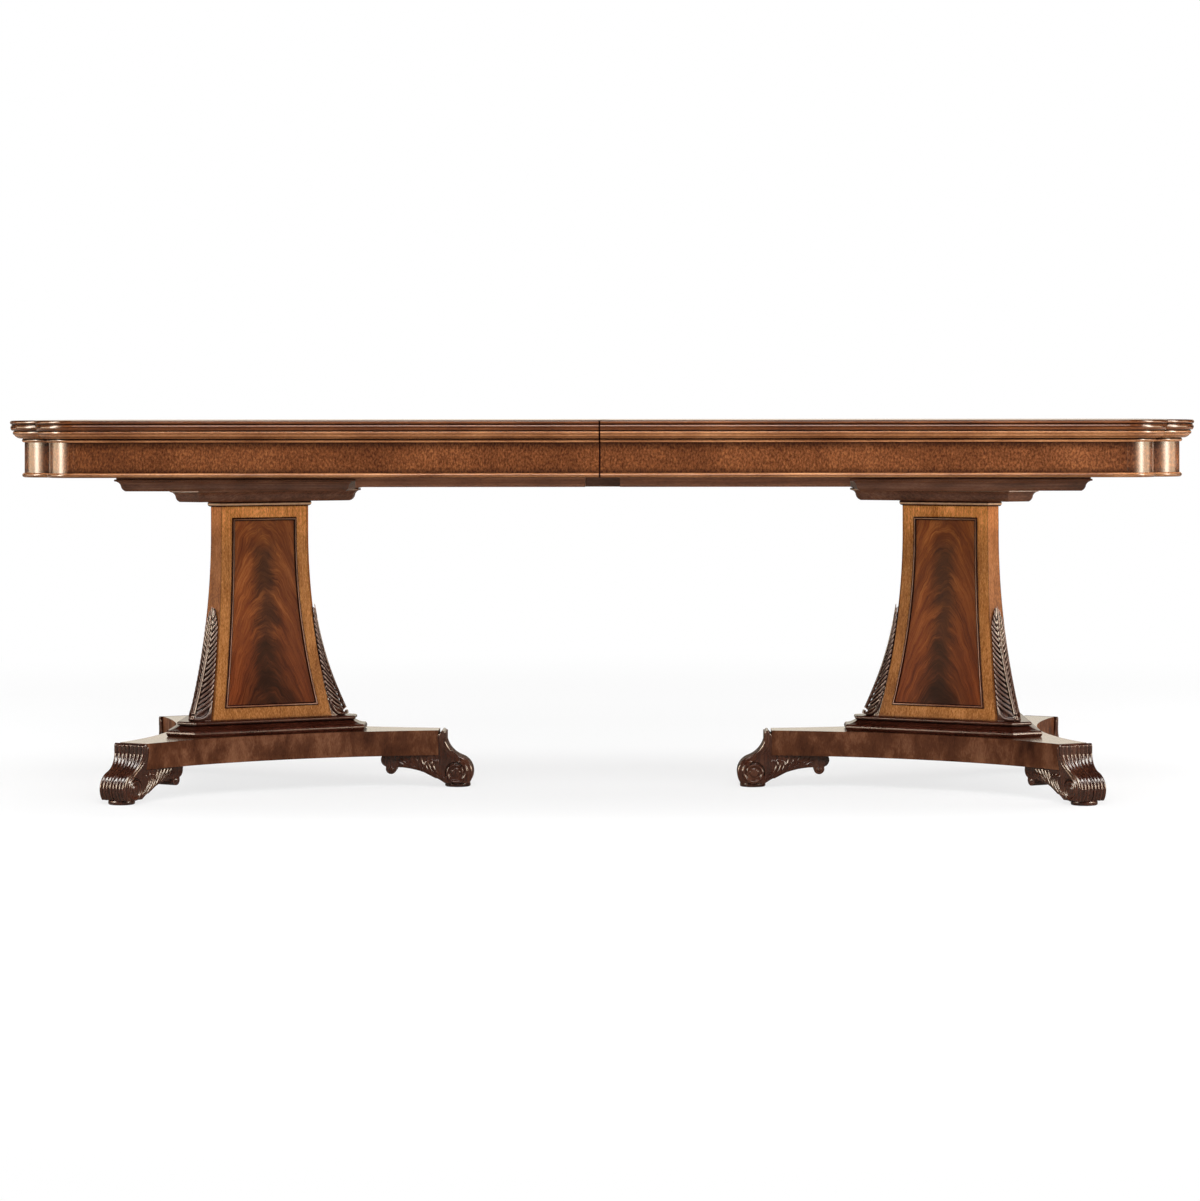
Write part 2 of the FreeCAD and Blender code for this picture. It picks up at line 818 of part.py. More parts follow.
def scroll_foot():
    """A foot with a reeded front, a volute with an eye on each side and a tail that ends in a bud."""
    start, steps = foot_side()
    half = foot_width / 2
    foot = moved(filled(start, steps, section_point), 0, -half, 0).extrude(vec(0, foot_width, 0))
    pitch = foot_width / reed_count
    radius = (pitch - reed_gap) / 2
    tubes = [reed_tube(-half + pitch * (index + 1 / 2), radius) for index in range(reed_count)]
    front_x = arm_reach + foot_lip + volute_reach + 2 * volute_radius
    keep = box(arm_reach, front_x, -half, half, sole_height, platform_top)
    foot = joined([foot] + [tube.common(keep) for tube in tubes])
    centre_x = arm_reach + volute_reach
    outer = volute_radius * volute_band_share
    for side in (-1, 1):
        outward = vec(0, side, 0)
        floor = vec(centre_x, side * (half - volute_groove_depth), volute_height)
        ring = rod(2 * outer, volute_groove_depth + cut_overrun, floor, outward)
        ring = ring.cut(rod(2 * (outer - volute_groove), volute_groove_depth + cut_overrun, floor, outward))
        eye = rod(2 * eye_radius, volute_groove_depth + eye_proud, floor, outward)
        foot = foot.cut(ring).fuse(eye)
    return foot.removeSplitter()


def sole():
    """The turned disc on which a foot stands."""
    disc = rod(sole_diameter, sole_height, vec(arm_reach + sole_reach, 0, 0))
    rims = [edge for edge in disc.Edges if edge.Curve.TypeId == "Part::GeomCircle"]
    return disc.makeFillet(min(sole_round, sole_height / 3), rims)


def tie_rod():
    """The threaded rod through the pedestal, with a nut and a washer at each end."""
    recess_top = foot_height + rod_recess_depth
    low = recess_top - washer_thickness
    washer_low = rod(washer_diameter, washer_thickness, vec(0, 0, low))
    nut_low = hexagon(vec(0, 0, low - nut_height))
    washer_high = rod(washer_diameter, washer_thickness, vec(0, 0, plate_top))
    high = plate_top + washer_thickness
    nut_high = hexagon(vec(0, 0, high))
    bar_hole = rod(rod_diameter, table_height, origin)
    bar = rod(rod_diameter, high + nut_height - (low - nut_height), vec(0, 0, low - nut_height))
    return group([bar] + [piece.cut(bar_hole) for piece in (washer_low, nut_low, washer_high, nut_high)])


def hexagon(at):
    """A hexagon nut's block standing on a point."""
    corners = [turned_point(nut_diameter / 2, 0, sixth_turn * index) for index in range(6)]
    face = filled(corners[0], corners[1:], plan_point)
    return moved(face.extrude(up * nut_height), at.x, at.y, at.z)


# Dowels and locks at the seam

def dowels():
    """The dowels that stand out of the left half's seam face."""
    pins = []
    for y in dowel_places():
        start = vec(-seam_x - dowel_bite, y, dowel_level())
        pin = rod(dowel_diameter, dowel_bite + dowel_reach, start, vec(1, 0, 0))
        tip = [edge for edge in pin.Edges if edge.BoundBox.XMin > 0]
        pins.append(pin.makeChamfer(dowel_diameter / 8, tip))
    return group(pins)


def lever_level():
    """The underside of a lock's lever."""
    return panel_under - lock_plate_thickness - lever_clearance - lever_thickness


def lock_fitting(x, y, pin_diameter):
    """A plate under the top with a headed pin: a lever's pivot, or the stud that a lever hooks."""
    half = lock_plate_width / 2
    outer = x - lock_plate_length / 2
    under = panel_under - lock_plate_thickness
    plate = box(outer, outer + lock_plate_length, y - half, y + half, under, panel_under)
    low = lever_level() - lever_clearance
    pin = rod(pin_diameter, panel_under - low, vec(x, y, low))
    head = rod(pivot_head_diameter, pivot_head_height, vec(x, y, low - pivot_head_height))
    return joined([plate, pin, head])


def lock_lever():
    """A lever that lies along the seam when open: drawn closed, along X, and then swung open."""
    level = lever_level()
    span = pivot_setback + stud_setback
    tip = span + lever_hook
    half = lever_width / 2
    head = lever_head_width / 2
    neck_x = span - lever_head_width
    steps = [(neck_x, -half), (span - lever_hook, -head), (tip - head, -head), ((tip, 0), (tip - head, head))]
    steps += [(span - lever_hook, head), (neck_x, half), (-lever_tail, half)]
    steps.append(((-lever_tail - half, 0), (-lever_tail, -half)))
    bar = filled((-lever_tail, -half), steps, plan_point).extrude(up * lever_thickness)
    slot_radius = stud_diameter / 2 + stud_gap
    deep = lever_thickness + 2 * cut_overrun
    floor = vec(0, 0, -cut_overrun)
    seat = rod(2 * slot_radius, deep, vec(span, 0, -cut_overrun))
    ring = rod(2 * (span + slot_radius), deep, floor).cut(rod(2 * (span - slot_radius), deep, floor))
    mouth = box(0, tip + cut_overrun, -lever_head_width - cut_overrun, 0, -cut_overrun, deep)
    bar = bar.cut(seat).cut(ring.common(mouth))
    bar = bar.cut(rod(pivot_diameter + 2 * hole_gap, deep, floor))
    return moved(turned(bar, quarter_turn), 0, 0, level)


def seam_pieces():
    """The locks, keepers and dowels that hold the two halves in line."""
    lock_y = frieze_y - lock_inset
    front_lever = moved(lock_lever(), -pivot_setback, -lock_y, 0)
    return {
        "lock_plates": group([lock_fitting(-pivot_setback, y, pivot_diameter) for y in (-lock_y, lock_y)]),
        "lock_keepers": group([lock_fitting(stud_setback, y, stud_diameter) for y in (-lock_y, lock_y)]),
        "front_lock_lever": front_lever,
        "rear_lock_lever": flipped(front_lever),
        "alignment_dowels": dowels(),
        "front_centre_runner": centre_runner(),
        "rear_centre_runner": flipped(centre_runner()),
    }


# The two halves

def half_top():
    """The pieces of the right half's top, by name."""
    runner = outer_runner()
    return {
        "edge_moulding": group(list(moulding_runs(edge_section()))),
        "apron_bead": group(list(moulding_runs(bead_section()))),
        "front_apron": long_apron(),
        "rear_apron": flipped(long_apron()),
        "end_apron": end_apron(),
        "front_corner_block": corner_block(),
        "rear_corner_block": flipped(corner_block()),
        "cross_bearers": group(bearers()),
        "front_runner": runner,
        "rear_runner": flipped(runner),
        "bearing_plate": bearing_plate(),
        "plate_bolts": plate_bolts(),
    }


def pedestal():
    """The pieces of the right pedestal, by name."""
    veneer, bead, pocket = panel_pieces()
    leaf = corner_leaf()
    foot = scroll_foot()
    pieces = {
        "pedestal_cap": pedestal_cap(),
        "column_neck": neck(),
        "column": column_carcass(pocket),
        "flame_panels": group([turned(veneer, angle) for angle in face_angles]),
        "panel_beads": group([turned(bead, angle) for angle in face_angles]),
        "corner_leaves": group([turned(leaf, angle) for angle in arm_angles]),
        "plinth": plinth(),
        "platform": platform(),
        "foot_soles": group([turned(sole(), angle) for angle in arm_angles]),
        "tie_rod": tie_rod(),
    }
    for name, angle in zip(("inner_foot", "outer_rear_foot", "outer_front_foot"), arm_angles):
        pieces[name] = turned(foot, angle)
    return {name: moved(shape, pedestal_x, 0, 0) for name, shape in pieces.items()}


def mirrored_half(pieces):
    """The other half of the table, by name."""
    return {name: shape.mirror(origin, seam_normal) for name, shape in pieces.items()}


def table():
    """Every piece of the table, by node name."""
    right = {**half_top(), **pedestal()}
    left = mirrored_half(right)
    panel = top_panel()
    right["top_panel"] = dowel_holes(panel, 1, dowel_reach + slide_gap, slide_gap)
    left["top_panel"] = dowel_holes(panel.mirror(origin, seam_normal), -1, dowel_bite, 0)
    nodes = {f"right_{name}": shape for name, shape in right.items()}
    nodes.update({f"left_{name}": shape for name, shape in left.items()})
    nodes.update(seam_pieces())
    return nodes


os.makedirs("parts", exist_ok=True)
for name, shape in table().items():
    shape.exportStep(os.path.join("parts", name + ".step"))
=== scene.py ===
import math

import bpy
from mathutils import Matrix, Vector


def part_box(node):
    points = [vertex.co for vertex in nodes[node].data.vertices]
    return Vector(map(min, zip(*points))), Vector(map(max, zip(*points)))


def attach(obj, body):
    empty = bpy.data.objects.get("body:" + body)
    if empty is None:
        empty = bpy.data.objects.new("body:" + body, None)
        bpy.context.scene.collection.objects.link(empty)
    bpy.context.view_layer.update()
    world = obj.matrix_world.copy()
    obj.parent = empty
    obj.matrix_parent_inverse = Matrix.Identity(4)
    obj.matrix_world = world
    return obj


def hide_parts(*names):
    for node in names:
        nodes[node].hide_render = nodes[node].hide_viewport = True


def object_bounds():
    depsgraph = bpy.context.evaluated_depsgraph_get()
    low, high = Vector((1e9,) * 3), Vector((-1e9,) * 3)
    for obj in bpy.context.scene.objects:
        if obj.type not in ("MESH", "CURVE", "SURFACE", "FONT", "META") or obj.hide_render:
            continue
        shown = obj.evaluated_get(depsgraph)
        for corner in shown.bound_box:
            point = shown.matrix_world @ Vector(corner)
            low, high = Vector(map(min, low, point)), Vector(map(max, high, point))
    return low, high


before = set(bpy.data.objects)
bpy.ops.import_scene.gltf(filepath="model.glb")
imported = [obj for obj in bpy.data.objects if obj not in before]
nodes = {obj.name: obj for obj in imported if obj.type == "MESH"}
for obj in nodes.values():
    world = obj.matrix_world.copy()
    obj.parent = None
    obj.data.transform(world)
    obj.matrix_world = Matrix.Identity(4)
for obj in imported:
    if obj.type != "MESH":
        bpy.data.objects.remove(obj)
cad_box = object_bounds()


# Soles: one low turned disc of dark stained mahogany under each scroll foot,
# glued to the flat under the scroll, with its rim eased and polished.

sides = ("left", "right")
grain_turns = {"X": (0.0, 0.0, 0.0), "Y": (0.0, 0.0, -math.pi / 2), "Z": (0.0, math.pi / 2, 0.0)}
cloud_stretch = 0.6
fleck_size, pore_size = (0.006, 0.0016), (0.012, 0.0009)
pore_edges, pore_shade = (0.60, 0.74), 0.55
streak_share, cloud_share = 0.55, 0.45
streak_relief = 0.3
colour_places = (0.32, 0.50, 0.68)


def put(tree, kind, inputs=(), **options):
    """Adds one shader node, with its options and its sockets filled, and gives its first output."""
    made = tree.nodes.new("ShaderNode" + kind)
    for option, value in options.items():
        setattr(made, option, value)
    for socket, value in dict(inputs).items():
        if isinstance(value, bpy.types.NodeSocket):
            tree.links.new(value, made.inputs[socket])
        else:
            made.inputs[socket].default_value = value
    return made.outputs[0] if made.outputs else None


def sums(tree, operation, first, second=0.0):
    """One step of arithmetic between two sockets or numbers."""
    return put(tree, "Math", {0: first, 1: second}, operation=operation)


def weighted(tree, *parts, start=0.0):
    """A sum of sockets, each times its weight, on top of a starting number."""
    total = start
    for socket, weight in parts:
        total = put(tree, "Math", {0: socket, 1: weight, 2: total}, operation="MULTIPLY_ADD")
    return total


def between(tree, factor, low, high, new_low=0.0, new_high=1.0):
    """A smooth step of a factor from one range to another."""
    limits = {"Value": factor, "From Min": low, "From Max": high, "To Min": new_low, "To Max": new_high}
    return put(tree, "MapRange", limits, interpolation_type="SMOOTHSTEP")


def tint(colour):
    """A colour as a socket takes it."""
    return (*colour, 1.0)


def shaded(tree, factor, first, second):
    """A colour between two colours or colour sockets."""
    ends = [tint(end) if isinstance(end, tuple) else end for end in (first, second)]
    mix = put(tree, "Mix", {0: factor, 6: ends[0], 7: ends[1]}, data_type="RGBA")
    return mix.node.outputs[2]


def scaled(tree, colour, factor):
    """A colour made darker or lighter by a number or a socket."""
    return put(tree, "VectorMath", {0: colour, "Scale": factor}, operation="SCALE")


def colours_along(tree, factor, *stops):
    """A colour ramp through stops of place and colour."""
    colour = put(tree, "ValToRGB", {"Fac": factor})
    ramp = colour.node.color_ramp
    for element, (place, stop) in zip(ramp.elements, (stops[0], stops[-1])):
        element.position, element.color = place, tint(stop)
    for place, stop in stops[1:-1]:
        ramp.elements.new(place).color = tint(stop)
    return colour


def noise(tree, point, scale, detail=3.0, roughness=0.55, distortion=0.0):
    """Noise over a point, with a scale of its own for each axis."""
    spread = put(tree, "Mapping", {"Vector": point, "Scale": scale})
    knobs = {"Detail": detail, "Roughness": roughness, "Distortion": distortion}
    return put(tree, "TexNoise", {"Vector": spread, "Scale": 1.0, **knobs})


def grain_noise(tree, point, size, **knobs):
    """Noise drawn out along the grain: its length along X and its breadth across it."""
    length, breadth = size
    return noise(tree, point, (1 / length, 1 / breadth, 1 / breadth), **knobs)


def object_point(tree):
    """The point on the piece, in the table's own frame."""
    return put(tree, "TexCoord").node.outputs["Object"]


def parts_of(tree, vector):
    """The X, Y and Z of a vector socket."""
    return put(tree, "SeparateXYZ", {0: vector}).node.outputs


def along_grain(tree, axis):
    """The point turned so that the grain runs along X."""
    return put(tree, "Mapping", {"Vector": object_point(tree), "Rotation": grain_turns[axis]})


def new_material(name):
    """An empty material, its node tree and its polished surface."""
    material = bpy.data.materials.new(name)
    material.use_nodes = True
    tree = material.node_tree
    tree.nodes.clear()
    surface = tree.nodes.new("ShaderNodeBsdfPrincipled")
    put(tree, "OutputMaterial", {"Surface": surface.outputs[0]})
    return material, tree, surface


def wood_figure(tree, point, colours, streak, mottle, fleck):
    """Wood with its grain along X: streaks, soft mottling and dark pores. Gives its colour and relief."""
    streaks = grain_noise(tree, point, streak, detail=4.0, roughness=0.6, distortion=0.4)
    cloud = (mottle / cloud_stretch, mottle)
    clouds = grain_noise(tree, point, cloud, detail=2.0, roughness=0.5, distortion=0.3)
    flecks = grain_noise(tree, point, fleck_size, detail=2.0, roughness=0.6)
    pores = between(tree, grain_noise(tree, point, pore_size, detail=1.0), *pore_edges)
    shares = ((streaks, streak_share), (clouds, cloud_share), (flecks, fleck))
    lively = weighted(tree, *shares, start=-fleck / 2)
    colour = colours_along(tree, lively, *zip(colour_places, colours))
    colour = scaled(tree, colour, between(tree, pores, 0.0, 1.0, 1.0, pore_shade))
    return colour, weighted(tree, (streaks, streak_relief), (pores, -1.0))


def polish(tree, surface, colour, height, sheen,
           relief=0.00006, ease=0.0008, glaze=None, lacquer=0.9, gloss=1.6, own=True):
    """French polish over a wood colour: fine relief, eased arrises, and a dark glazing with painted shade in
    the quirks, where ambient occlusion darkens the colour: those of the piece alone or, with own False, also
    those that it makes with its neighbours."""
    if glaze:
        dirt_and_shade, reach, openness = glaze
        # Glazing and painted shade: the colour goes towards the dark one where ambient occlusion finds the
        # surface enclosed.
        open_air = put(tree, "AmbientOcclusion", {"Distance": reach}, samples=6, only_local=own)
        colour = shaded(tree, between(tree, open_air.node.outputs["AO"], *openness), dirt_and_shade, colour)
    eased = put(tree, "Bevel", {"Radius": ease}, samples=4)
    bump = put(tree, "Bump", {"Strength": 0.5, "Distance": relief, "Height": height, "Normal": eased})
    tree.links.new(colour, surface.inputs["Base Color"])
    for socket in ("Normal", "Coat Normal"):
        tree.links.new(bump, surface.inputs[socket])
    surface.inputs["Roughness"].default_value = 0.5
    surface.inputs["Specular IOR Level"].default_value = 0.0
    surface.inputs["Coat Weight"].default_value = lacquer
    surface.inputs["Coat Roughness"].default_value = sheen
    surface.inputs["Coat IOR"].default_value = gloss


def wood(name, colours, axis, sheen, streak, mottle, fleck, **finish):
    """A polished solid wood with its grain along one axis."""
    material, tree, surface = new_material(name)
    colour, height = wood_figure(tree, along_grain(tree, axis), colours, streak, mottle, fleck)
    polish(tree, surface, colour, height, sheen, **finish)
    return material


def finish_nodes(material, *names):
    """Gives a finish to these CAD pieces."""
    for name in names:
        nodes[name].material_slots[0].material = material


def finish_halves(material, *names):
    """Gives a finish to these CAD pieces of both halves."""
    for side in sides:
        finish_nodes(material, *[f"{side}_{name}" for name in names])


carved_colours = ((0.020, 0.0052, 0.0028), (0.043, 0.0122, 0.0062), (0.078, 0.0255, 0.0122))
carved_glaze = ((0.006, 0.0022, 0.0016), 0.006, (0.30, 0.90))
carved_finish = {"glaze": carved_glaze, "lacquer": 0.65, "gloss": 1.75}
carved_sheen = 0.16
carved_mahogany = wood("carved_mahogany", carved_colours, "Z", carved_sheen, (0.05, 0.004), 0.04, 0.2,
                       ease=0.0006, **carved_finish)
finish_halves(carved_mahogany, "foot_soles")


# Scroll feet: carved from solid mahogany, screwed up under the ends of the platform's arms.
# Each has a reeded front that rolls under into a volute, and a leafy tail that ends in a bud.

pedestal_x = {side: sum(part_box(f"{side}_tie_rod"), Vector()).x / 2 for side in sides}
foot_angles = {
    "left": {"inner_foot": 0, "outer_front_foot": 240, "outer_rear_foot": 120},
    "right": {"inner_foot": 180, "outer_front_foot": 300, "outer_rear_foot": 60},
}
foot_side = 34.6
foot_body = 0.93
foot_waist, foot_spread = (0.055, 0.105), (0.93, 1.14)
foot_voxel = 0.0010
volute_middle, volute_eye = (429.0, 30.5), 6.0
bud_middle, bud_eye = (295, 38), 5.4
eye_depths, eye_taper = (-3.0, 2.6), 0.6
spiral_start, spiral_turns, spiral_steps = 75, 1.25, 18
spiral_reaches, spiral_tightness = (24.5, 14.0), 0.8
spiral_widths = (3.9, 2.4)
curl_width, leaflet_width, curl_sink = 3.0, 2.5, 0.4
curl_lines = (
    ((393, 54), (385, 56), (380, 49), (383, 38), (393, 26), (406, 18)),
    ((382, 57), (374, 55), (372, 46), (378, 33), (389, 22), (401, 16)),
    ((371, 56), (365, 50), (367, 39), (376, 28), (388, 20)),
)
leaflet_lines = (
    ((376, 27), (366, 38), (358, 52), (356, 63)),
    ((366, 32), (355, 44), (347, 55), (344, 63)),
    ((357, 37), (345, 48), (336, 57), (333, 64)),
    ((347, 40), (335, 48), (326, 56), (322, 63)),
    ((338, 43), (325, 50), (315, 57), (312, 63)),
    ((328, 44), (316, 49), (307, 54)),
)
rib_line = ((404, 18), (389, 20), (376, 27), (357, 37), (336, 43), (312, 45))
rib_widths, rib_sink = (1.8, 2.2, 2.4, 2.4, 2.0, 1.4), 1.2
fillet_line = ((397, 112), (397, 97), (402, 83), (413, 70), (427, 60), (439, 50))
fillet_widths, fillet_sink = (1.2, 1.6, 1.8, 1.8, 1.6, 1.0), 0.6


def worn_and_highlit_carving(name, crest_wear_and_highlight_colour, crest_range, most):
    """Dark carved mahogany whose crests are painted light, more where they are sharper: partly rubbed wear,
    partly painted highlight.
    """
    material, tree, surface = new_material(name)
    colour, grain = wood_figure(tree, along_grain(tree, "Z"), carved_colours, (0.08, 0.006), 0.05, 0.15)
    sharpness = put(tree, "NewGeometry").node.outputs["Pointiness"]
    colour = shaded(tree, between(tree, sharpness, *crest_range, 0.0, most), colour, crest_wear_and_highlight_colour)
    polish(tree, surface, colour, grain, carved_sheen, ease=0.0003, **carved_finish)
    return material


def deselect():
    """Leaves nothing selected, so that an operator acts only on what is chosen next."""
    bpy.ops.object.select_all(action="DESELECT")


def choose(*pieces):
    """Selects these objects only, the first one active."""
    deselect()
    for piece in pieces:
        piece.select_set(True)
    bpy.context.view_layer.objects.active = pieces[0]


def new_object(name, data):
    """A new object in the scene."""
    made = bpy.data.objects.new(name, data)
    bpy.context.scene.collection.objects.link(made)
    return made


def copied_node(name, piece_name):
    """A free copy of a CAD piece with its loose triangles merged."""
    piece = new_object(piece_name, nodes[name].data.copy())
    choose(piece)
    bpy.ops.object.mode_set(mode="EDIT")
    bpy.ops.mesh.select_all(action="SELECT")
    bpy.ops.mesh.customdata_custom_splitnormals_clear()
    bpy.ops.mesh.remove_doubles(threshold=0.00001)
    bpy.ops.object.mode_set(mode="OBJECT")
    return piece


def part_way(ends, share):
    """A number part of the way from one end to the other."""
    return ends[0] + (ends[1] - ends[0]) * share


def carved_stroke(places, widths):
    """A tapered stroke of carving near these places, in millimetres, with a half-width at each."""
    curve = bpy.data.curves.new("stroke", "CURVE")
    curve.dimensions = "3D"
    curve.bevel_depth = 0.001
    curve.bevel_resolution = 2
    curve.use_fill_caps = True
    line = curve.splines.new("NURBS")
    line.points.add(len(places) - 1)
    for knot, place, width in zip(line.points, places, widths):
        knot.co = (*[part / 1000 for part in place], 1.0)
        knot.radius = width
    line.order_u = 3
    line.use_endpoint_u = True
    line.resolution_u = 6
    return new_object("stroke", curve)


def as_one_carving(body, strokes, voxel, name):
    """Joins strokes to a body, melts them into one skin and softens the cuts, as sandpaper does."""
    choose(*strokes)
    bpy.ops.object.convert(target="MESH")
    choose(body, *strokes)
    bpy.ops.object.join()
    skin = body.modifiers.new("skin", "REMESH")
    skin.mode = "VOXEL"
    skin.voxel_size = voxel
    soft = body.modifiers.new("soft", "SMOOTH")
    soft.factor = 0.5
    soft.iterations = 2
    for modifier in ("skin", "soft"):
        bpy.ops.object.modifier_apply(modifier=modifier)
    bpy.ops.object.shade_smooth()
    body.name = name
    return body


def set_on_pedestal(pattern, name, side, angle, material):
    """A copy of a carving made at angle zero, turned to its place round the pedestal of one half."""
    piece = new_object(name, pattern.data.copy())
    piece.rotation_euler = (0.0, 0.0, math.radians(angle))
    piece.location = (pedestal_x[side], 0.0, 0.0)
    choose(piece)
    bpy.ops.object.transform_apply(location=True, rotation=True, scale=True)
    piece.data.materials.clear()
    piece.data.materials.append(material)
    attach(piece, f"{side}_half")
    return piece


def volute_spiral(across):
    """The scroll's band, wound in from the front of the foot to its eye."""
    places, widths = [], []
    for step in range(spiral_steps + 1):
        share = step / spiral_steps
        reach = part_way(spiral_reaches, share ** spiral_tightness)
        turn = math.radians(spiral_start - 360 * spiral_turns * share)
        middle = (volute_middle[0] + reach * math.cos(turn), volute_middle[1] + reach * math.sin(turn))
        places.append((middle[0], across, middle[1]))
        widths.append(part_way(spiral_widths, share))
    return carved_stroke(places, widths)


def side_stroke(line, across, widths):
    """A stroke along the side of the foot, by reach and height."""
    return carved_stroke([(reach, across, height) for reach, height in line], widths)


def leafy_widths(broad, count):
    """Half-widths that swell along a curl or leaflet and draw in to its tip."""
    shares = [k / (count - 1) for k in range(count)]
    return [broad * (0.4 + 0.6 * math.sin(math.pi * (0.15 + 0.75 * share))) for share in shares]


def foot_strokes(sign):
    """The carving on one side of the foot: the scroll, curls and leaflets behind it, and the bud's eye."""
    across = sign * foot_side
    strokes = [volute_spiral(across)]
    for lines, broad in ((curl_lines, curl_width), (leaflet_lines, leaflet_width)):
        for line in lines:
            strokes.append(side_stroke(line, across - sign * curl_sink, leafy_widths(broad, len(line))))
    for middle, wide in ((volute_middle, volute_eye), (bud_middle, bud_eye)):
        ends = [(middle[0], across + sign * depth, middle[1]) for depth in eye_depths]
        strokes.append(carved_stroke(ends, (wide, wide * eye_taper)))
    strokes.append(side_stroke(rib_line, across - sign * rib_sink, rib_widths))
    strokes.append(side_stroke(fillet_line, across - sign * fillet_sink, fillet_widths))
    return strokes


# Feet: crests painted light, partly rubbed wear and partly painted highlight.
foot_carving = worn_and_highlit_carving("foot_carving", (0.300, 0.180, 0.135), (0.518, 0.575), 0.30)
foot_pattern = copied_node("left_inner_foot", "foot_pattern")
foot_pattern.data.transform(Matrix.Translation((-pedestal_x["left"], 0.0, 0.0)))
foot_pattern.data.transform(Matrix.Diagonal((1.0, foot_body, 1.0, 1.0)))
foot_pattern = as_one_carving(foot_pattern, foot_strokes(-1) + foot_strokes(1), foot_voxel, "foot_pattern")
for vertex in foot_pattern.data.vertices:
    rise = min(1.0, max(0.0, (vertex.co.z - foot_waist[0]) / (foot_waist[1] - foot_waist[0])))
    vertex.co.y *= part_way(foot_spread, rise * rise * (3.0 - 2.0 * rise))
for side in sides:
    for foot, angle in foot_angles[side].items():
        piece = set_on_pedestal(foot_pattern, f"{side}_{foot}_carving", side, angle, foot_carving)
        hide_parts(f"{side}_{foot}")
bpy.data.objects.remove(foot_pattern)


# Platforms: three-armed bases with hollowed sides, built up in solid wood and faced all round with flame
# mahogany, whose figure stands upright. Their flat tops are veneered and polished.

platform_colours = ((0.026, 0.0075, 0.0034), (0.078, 0.0260, 0.0112), (0.185, 0.0760, 0.0370))
platform_glaze = ((0.010, 0.0035, 0.0022), 0.010, (0.25, 0.85))
platform_turns, platform_lacquers = (0.6, 0.95), (0.22, 0.95)


def normal_parts(tree):
    """The X, Y and Z of the way in which a face looks."""
    return parts_of(tree, put(tree, "NewGeometry").node.outputs["Normal"])


platform_veneer, tree, surface = new_material("platform_veneer")
colour, grain = wood_figure(tree, along_grain(tree, "Z"), platform_colours, (0.05, 0.030), 0.11, 0.20)
polish(tree, surface, colour, grain, 0.21, ease=0.0010, glaze=platform_glaze)
lacquer = between(tree, normal_parts(tree)["Z"], *platform_turns, *platform_lacquers)
tree.links.new(lacquer, surface.inputs["Coat Weight"])
finish_halves(platform_veneer, "platform")


# Plinths: moulded bands of dark stained mahogany, worked in three lengths, mitred round the foot
# of the column and glued down on the platform.

dark_colours = ((0.014, 0.0028, 0.0015), (0.036, 0.0080, 0.0042), (0.076, 0.0225, 0.0120))
dark_glaze = ((0.005, 0.0016, 0.0011), 0.008, (0.25, 0.85))
dark_moulding = wood("dark_moulding", dark_colours, "X", 0.19, (0.2, 0.004), 0.06, 0.2,
                     ease=0.0009, glaze=dark_glaze, lacquer=0.6)
finish_halves(dark_moulding, "plinth")


# Columns: three-sided hollow boxes that flare to the foot, with canted corners, veneered in golden brown
# mahogany, painted lighter towards the top: partly painted light from above, partly darker toning at the foot.
# A sunk pocket in each face takes a panel.

frame_colours = ((0.165, 0.057, 0.0120), (0.300, 0.122, 0.0310), (0.455, 0.208, 0.0650))
frame_glaze = ((0.030, 0.009, 0.004), 0.012, (0.35, 0.85))
frame_line, frame_line_width, frame_line_turns = (0.060, 0.019, 0.007), 0.0028, (0.945, 0.996)
face_painted_light, cant_painted_shade = (1.18, 1.08, 1.00), (0.80, 0.62, 0.52)
column_foot, column_head = [corner.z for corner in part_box("left_column")]
frame_light_and_toning = (column_foot, column_head, 0.72, 1.30)
head_painted_light = (column_head - 0.10, column_head, 1.0, 1.60)


def level_of(tree):
    """The height of a point above the floor."""
    return parts_of(tree, object_point(tree))["Z"]


def toned(tree, colour, tone):
    """A colour times a tone, each of its three parts by its own."""
    return put(tree, "VectorMath", {0: colour, 1: tone}, operation="MULTIPLY")


def arris_line(tree, colour):
    """A thin dark line along the sharp arrises of the column."""
    rounded = put(tree, "Bevel", {"Radius": frame_line_width}, samples=4)
    flat = put(tree, "NewGeometry").node.outputs["Normal"]
    turn = put(tree, "VectorMath", {0: rounded, 1: flat}, operation="DOT_PRODUCT").node.outputs["Value"]
    return shaded(tree, between(tree, turn, *frame_line_turns), frame_line, colour)


def canted(tree):
    """One on the canted corners of the columns and zero on their faces, which look the other ways."""
    normal = normal_parts(tree)
    bearing = sums(tree, "ARCTAN2", normal["Y"], normal["X"])
    threefold = sums(tree, "COSINE", sums(tree, "MULTIPLY", bearing, 3.0))
    half = sums(tree, "SIGN", parts_of(tree, object_point(tree))["X"])
    return between(tree, sums(tree, "MULTIPLY", threefold, half), 1.0, -1.0)


column_frame, tree, surface = new_material("column_frame")
colour, grain = wood_figure(tree, along_grain(tree, "Z"), frame_colours, (0.12, 0.003), 0.05, 0.70)
# Painted light: lighter towards the top, with darker toning at the foot, and lighter again just under the cap.
for light_fade in (frame_light_and_toning, head_painted_light):
    colour = scaled(tree, colour, between(tree, level_of(tree), *light_fade))
# Painted shade and light: the canted corners coloured darker and redder, the faces lighter, by the way each
# one looks.
colour = toned(tree, colour, shaded(tree, canted(tree), face_painted_light, cant_painted_shade))
colour = arris_line(tree, colour)
# With own False the frame is also painted darker in the shade beside the leaves and the panels.
polish(tree, surface, colour, grain, 0.24, ease=0.0012, glaze=frame_glaze, lacquer=0.06, own=False)
finish_halves(column_frame, "column")


# Flame panels: sheets of crotch mahogany laid in the pockets of the column faces.
# A dark spine climbs each sheet and its figure falls away to both sides like a plume.

